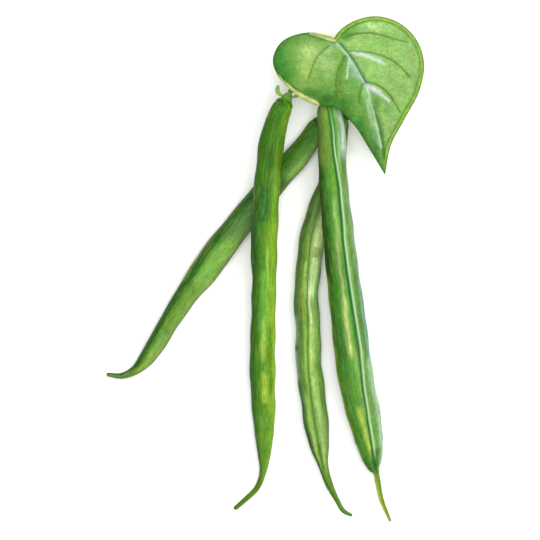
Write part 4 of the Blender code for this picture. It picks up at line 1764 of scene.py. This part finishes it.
SLANTING_SKIN = PodSkin(
    "slanting_pod_skin",
    across=(
        (0.0, "4c7420"), (0.1, "376418"), (0.24, "3c7224"), (0.36, "5c9434"), (0.6, "7cb04c"),
        (0.86, "90b85c"), (0.97, "8a9a5c"), (1.0, "74904c"),
    ),
    stripes=(
        Stripe(-0.2, -0.2, 0.8, -0.05, 0.30, "437826", 0.85),
        # Painted light that keeps this part light in the right pod's shade.
        Stripe(0.72, 0.72, 0.28, 0.06, 0.20, "98cc68", 0.85),
        # Painted shade where this pod passes under the left pod.
        Stripe(0.55, 0.60, 0.35, 0.20, 0.31, "2f6c2c", 0.75),
        Stripe(0.0, 0.0, 0.8, 0.30, 0.45, "527f4c", 0.6),
        Stripe(-0.98, -0.98, 0.1, 0.46, 0.64, "86a428", 0.8),
        Stripe(-0.56, -0.62, 0.16, 0.44, 0.66, "2c6828", 0.75),
        Stripe(0.05, 0.10, 0.34, 0.46, 0.62, "84c054", 0.75),
        Stripe(0.55, 0.60, 0.20, 0.44, 0.60, "98c850", 0.6),
        Stripe(-0.92, -0.92, 0.2, 0.60, 0.90, "2a5a14", 0.8),
        Stripe(0.20, 0.20, 0.50, 0.60, 0.80, "749a38", 0.7),
        Stripe(0.30, 0.30, 0.24, 0.77, 0.87, "94c46c", 0.75),
        Stripe(0.40, 0.30, 0.28, 0.82, 0.92, "9cb44c", 0.75),
        Stripe(-0.8, -0.8, 0.5, 0.86, 1.10, "2f6018", 0.7),
    ),
    beak="5f843e",
    beak_start=0.88,
)
MIDDLE_SKIN = PodSkin(
    "middle_pod_skin",
    across=(
        (0.0, "5c7c4c"), (0.12, "648c48"), (0.27, "729840"), (0.44, "80ac48"), (0.52, "74a444"),
        (0.72, "96c464"), (0.86, "80ac58"), (0.96, "749850"), (1.0, "5c7c40"),
    ),
    stripes=(
        Stripe(-0.4, -0.4, 0.9, -0.05, 0.30, "5c803e", 0.75),
        Stripe(-0.55, -0.42, 0.09, 0.18, 0.30, "94b868", 0.7),
        # Painted highlights, pale enough to stay light in the right pod's shade.
        Stripe(0.45, 0.42, 0.38, 0.20, 0.36, "e8ffac", 0.95),
        Stripe(0.50, 0.45, 0.36, 0.345, 0.46, "e0ffac", 0.9),
        Stripe(0.35, 0.35, 0.5, 0.325, 0.355, "7ca44c", 0.6),
        Stripe(-0.30, -0.28, 0.10, 0.36, 0.44, "a8d060", 0.8),
        Stripe(-0.32, -0.30, 0.10, 0.40, 0.52, "98a444", 0.7),
        Stripe(0.32, 0.28, 0.10, 0.42, 0.54, "f0f4b4", 0.9),
        Stripe(0.75, 0.72, 0.25, 0.60, 0.74, "5f9030", 0.55),
        Stripe(0.22, 0.20, 0.17, 0.51, 0.70, "c4e47c", 0.85),
        Stripe(-0.27, -0.26, 0.11, 0.51, 0.68, "96cc54", 0.75),
        Stripe(0.88, 0.84, 0.18, 0.36, 0.52, "86b264", 0.6),
        # Painted highlights on the left edge.
        Stripe(-0.96, -0.98, 0.15, 0.49, 0.57, "b4d0b8", 0.85),
        Stripe(-0.96, -0.98, 0.15, 0.575, 0.65, "b4d0b8", 0.85),
        Stripe(-0.2, -0.2, 0.7, 0.80, 0.87, "2f6a2c", 0.55),
        Stripe(-0.55, -0.48, 0.18, 0.67, 0.87, "aedc70", 0.8),
        Stripe(0.20, 0.40, 0.20, 0.66, 0.88, "b8d880", 0.8),
        Stripe(-0.98, -0.85, 0.20, 0.68, 0.92, "2f5c20", 0.85),
        Stripe(-0.8, -0.6, 0.45, 0.84, 1.10, "44702a", 0.7),
    ),
    # Painted shade in the groove along the seam.
    cord="3a6a24",
    cord_strength=0.75,
    beak="5a8a28",
    beak_start=0.84,
)
RIGHT_SKIN = PodSkin(
    "right_pod_skin",
    across=(
        (0.0, "4a7424"), (0.08, "3f7430"), (0.2, "48842f"), (0.4, "5c9c3c"), (0.56, "66a438"),
        (0.63, "458f36"), (0.75, "8cbc64"), (0.84, "6c9040"), (0.9, "5c9454"), (0.96, "86b894"),
        (1.0, "6f9c80"),
    ),
    stripes=(
        Stripe(-0.60, -0.60, 0.32, -0.10, 0.18, "809848", 0.85),
        Stripe(-0.42, -0.34, 0.15, -0.06, 0.16, "80b03c", 0.8),
        Stripe(-0.14, -0.04, 0.06, -0.02, 0.13, "2f6a24", 0.7),
        # Painted light along the right edge.
        Stripe(0.80, 0.84, 0.26, -0.10, 0.15, "c4e0c4", 0.95),
        # Painted shade along the left edge.
        Stripe(-0.88, -0.86, 0.24, 0.14, 0.44, "2c5010", 0.85),
        Stripe(0.04, 0.04, 0.16, 0.10, 0.24, "7cb434", 0.75),
        Stripe(-0.02, -0.08, 0.17, 0.22, 0.36, "a4d070", 0.8),
        Stripe(0.85, 0.85, 0.18, 0.15, 0.42, "84a864", 0.6),
        Stripe(-0.16, -0.10, 0.07, 0.33, 0.48, "bcc48c", 0.85),
        Stripe(-0.07, -0.10, 0.14, 0.45, 0.61, "d0e088", 0.9),
        Stripe(-0.62, -0.60, 0.50, 0.60, 0.86, "66a43c", 0.5),
        Stripe(-1.0, -0.98, 0.08, 0.40, 0.88, "a8cc34", 0.9),
        Stripe(-0.54, -0.56, 0.12, 0.52, 0.76, "2f6f3c", 0.35),
        Stripe(0.52, 0.46, 0.11, 0.64, 0.88, "4c8c38", 0.6),
        Stripe(0.16, 0.18, 0.12, 0.58, 0.76, "94cc64", 0.8),
        Stripe(-0.18, -0.06, 0.15, 0.715, 0.85, "c0e060", 0.9),
        Stripe(0.30, 0.34, 0.14, 0.73, 0.86, "a0c048", 0.6),
        # Painted light along the right edge.
        Stripe(0.90, 0.86, 0.17, 0.60, 0.90, "b4e0a8", 0.85),
        Stripe(0.25, 0.20, 0.40, 0.82, 0.89, "1f6a30", 0.85),
        Stripe(-0.7, -0.7, 0.55, 0.875, 1.10, "c8d854", 0.9),
    ),
    # A painted highlight on the seam's ridge, and painted shade in the crease beside it.
    cord="c6f0be",
    cord_strength=0.92,
    crease="1f5a34",
    crease_strength=0.85,
    beak="7c9428",
    beak_start=0.86,
)

VEIN = "4c7424"
STROKES = (
    Stroke(((31.0, 55.6), (34.4, 52.6), (37.2, 48.6), (40.2, 42.6)), 1.0, "4c9c54", 0.45),
    Stroke(((38.9, 58.0), (40.8, 52.0), (42.0, 46.0), (42.9, 39.0)), 0.9, "4a8c3a", 0.65),
    # A painted highlight beside the lower midrib.
    Stroke(((36.4, 60.5), (37.2, 56.5), (38.2, 52.5)), 0.6, "d8eccc", 0.7),
    Stroke(((28.6, 76.4), (27.2, 72.5), (26.5, 68.5), (26.3, 64.0)), 1.1, "64903a", 0.8),
    # Painted highlights beside the midrib and between it and the left side veins.
    Stroke(((35.3, 65.0), (36.7, 59.5), (38.7, 52.5), (40.4, 46.0)), 1.1, "a0d08c", 0.65),
    Stroke(((29.9, 75.6), (29.4, 72.5), (29.0, 69.0)), 0.4, "cce6dc", 0.7, 0.1),
    Stroke(((30.5, 74.8), (32.9, 70.9), (34.7, 67.6)), 0.9, "bcdccc", 0.75, 0.1),
    Stroke(
        ((27.4, 83.0), (32.1, 84.7), (36.8, 85.1), (41.5, 84.3), (46.1, 83.0), (50.8, 81.8)),
        0.36, VEIN, 0.75, -0.22,
    ),
    Stroke(
        ((30.2, 78.5), (35.6, 78.3), (41.1, 77.1), (45.4, 75.2), (48.9, 72.5), (51.6, 69.3)),
        0.36, VEIN, 0.75, -0.28,
    ),
    Stroke(((36.0, 67.4), (39.5, 66.6), (43.4, 63.9), (46.5, 59.6), (48.1, 56.8)), 0.38, VEIN, 0.8, -0.35),
    Stroke(((22.7, 80.6), (20.4, 78.7), (18.0, 76.0), (16.5, 72.5), (15.3, 68.9)), 0.36, VEIN, 0.6, -0.22),
    Stroke(((28.2, 76.8), (26.6, 73.6), (25.4, 70.1), (25.1, 65.8), (25.4, 61.1)), 0.4, VEIN, 0.7, -0.28),
    Stroke(((34.8, 67.0), (33.7, 63.5), (33.3, 60.0)), 0.4, VEIN, 0.7, -0.25),
    # Painted highlights along the folds below the side veins.
    Stroke(((31.3, 77.7), (35.6, 77.1), (39.5, 75.6), (42.3, 74.0)), 0.75, "dceede", 0.8, 0.15),
    Stroke(((36.2, 66.1), (38.2, 65.0), (40.2, 63.8)), 0.85, "f0f6fc", 0.95, 0.3),
    Stroke(((38.2, 65.0), (41.6, 62.9), (44.0, 60.7)), 0.5, "e4f2e8", 0.85, 0.2),
    # Painted highlights on the left wall of the midrib's furrow.
    Stroke(((24.9, 81.6), (27.6, 79.0), (30.6, 75.2), (33.2, 71.4), (35.1, 67.6)), 0.34, "d6ead2", 0.85),
    Stroke(((36.0, 66.2), (37.9, 60.0), (39.9, 51.4), (41.5, 44.0)), 0.45, "d2ead0", 0.8),
    # Painted shade on the right wall of the midrib's furrow.
    Stroke(((26.6, 81.4), (30.9, 76.0), (34.6, 69.6), (36.0, 67.2)), 0.46, "2f6c3c", 0.9, -0.15),
    Stroke(((37.6, 62.2), (39.5, 55.3), (41.1, 49.4), (42.7, 39.7)), 0.34, "44842f", 0.8, -0.12),
)
# Soft patches over the blade's greens: the pale ones painted highlights, the dark ones the leaf's darker
# green with painted shade.
PATCHES = (
    Patch(5.0, 74.0, 4.2, 7.0, "46933a", 0.9),
    Patch(11.4, 82.8, 5.0, 1.6, "66a040", 0.7),
    Patch(15.3, 78.0, 3.8, 4.4, "bee084", 0.9),
    Patch(13.8, 71.2, 3.4, 4.0, "aed06c", 0.8),
    Patch(7.6, 70.6, 3.6, 2.6, "4c9438", 0.8),
    Patch(11.6, 65.4, 4.2, 1.8, "90bc54", 0.7),
    Patch(16.3, 63.5, 4.4, 2.0, "44883a", 0.8),
    Patch(22.2, 61.0, 4.8, 2.6, "37762e", 0.9),
    Patch(21.6, 74.0, 3.0, 4.4, "b0d484", 0.85),
    Patch(23.9, 79.9, 2.2, 1.5, "b0cc98", 0.6),
    Patch(31.9, 71.0, 1.8, 3.2, "a4ccac", 0.55),
    Patch(31.0, 66.4, 2.8, 3.0, "6aa84c", 0.6),
    Patch(28.0, 59.8, 4.0, 2.6, "3f8028", 0.8),
    Patch(34.0, 53.0, 2.6, 3.6, "549c3c", 0.8),
    Patch(39.6, 46.0, 1.4, 4.4, "3f8f4c", 0.7),
    Patch(29.0, 85.0, 2.4, 2.4, "589a3a", 0.85),
    Patch(32.6, 87.4, 3.0, 1.5, "62a23f", 0.7),
    Patch(38.2, 87.4, 4.2, 1.7, "c4ee94", 0.85),
    Patch(44.6, 85.0, 3.2, 1.7, "94c864", 0.6),
    Patch(33.7, 81.6, 2.4, 1.4, "b0d478", 0.7),
    Patch(41.5, 81.0, 4.0, 1.7, "8cc458", 0.6),
    Patch(51.2, 78.7, 2.0, 4.0, "9cb878", 0.6),
    Patch(37.6, 71.7, 3.6, 2.4, "9cd474", 0.7),
    Patch(45.4, 70.9, 3.0, 3.6, "98bc68", 0.6),
    Patch(47.5, 64.8, 2.6, 3.6, "92ba68", 0.6),
    Patch(53.0, 71.5, 1.6, 6.0, "94b46c", 0.75),
    Patch(39.8, 60.6, 1.7, 2.6, "5c9840", 0.8),
    Patch(43.4, 58.0, 2.0, 3.8, "80a85c", 0.65),
    Patch(45.3, 52.2, 1.3, 3.0, "a4b47c", 0.7),
)


def make_pods() -> tuple[Pod, Pod, Pod, Pod]:
    """Return the four pods, each with its own skin.

    Returns:
        The left, slanting, middle and right pod.
    """
    return (
        Pod("pod_left", LEFT_LINE, ROUND_FLATNESS, LEFT_SEAM, LEFT_SKIN),
        Pod("pod_slanting", SLANTING_LINE, ROUND_FLATNESS, SLANTING_SEAM, SLANTING_SKIN),
        Pod(
            "pod_middle", MIDDLE_LINE, ROUND_FLATNESS, MIDDLE_SEAM, MIDDLE_SKIN,
            ridge_mm=-0.2, cord_mm=0.26,
        ),
        Pod(
            "pod_right", RIGHT_LINE, BROAD_FLATNESS, RIGHT_SEAM, RIGHT_SKIN,
            ridge_mm=0.3, cord_mm=0.29, crease_mm=0.25,
        ),
    )


def main() -> None:
    """Build the cluster piece by piece, then the studio round it."""
    rng = np.random.default_rng(SEED)
    cup_skin = StemSkin("young_calyx_skin", deep="44862a", young="b4d470", roughness=(0.5, 0.66))
    stalk_skin = StemSkin("downy_stalk_skin", roughness=(0.5, 0.66))
    pods = make_pods()
    bracts = (WIDE_BRACTS, CLOSE_BRACTS, CLOSE_BRACTS, CLOSE_BRACTS)
    calyxes = tuple(
        Calyx(pod.node.replace("pod", "calyx"), pod, pair, cup_skin) for pod, pair in zip(pods, bracts)
    )
    for pod, calyx in zip(pods, calyxes):
        pod.build(rng)
        calyx.build()
    stems = (LEFT_STEM, SLANTING_STEM, MIDDLE_STEM, RIGHT_STEM)
    Stalk(STALK_LINE, stems, calyxes, stalk_skin).build()
    leaf_stalk = Stem("leaf_stalk_skin", LEAF_STALK_LINE, youth=(0.3, 0.8)).build()
    dress(leaf_stalk, stalk_skin, "leaf_stalk", Skin.STALK)
    blade = BladeSkin("bean_leaf_blade", grain_mm=(1.4, 4.0), roughness=(0.42, 0.6), patches=PATCHES)
    Leaf(RIGHT_MARGIN, LEFT_MARGIN, MIDRIB, blade, STROKES).build()
    Studio().build()


if __name__ == "__main__":
    main()
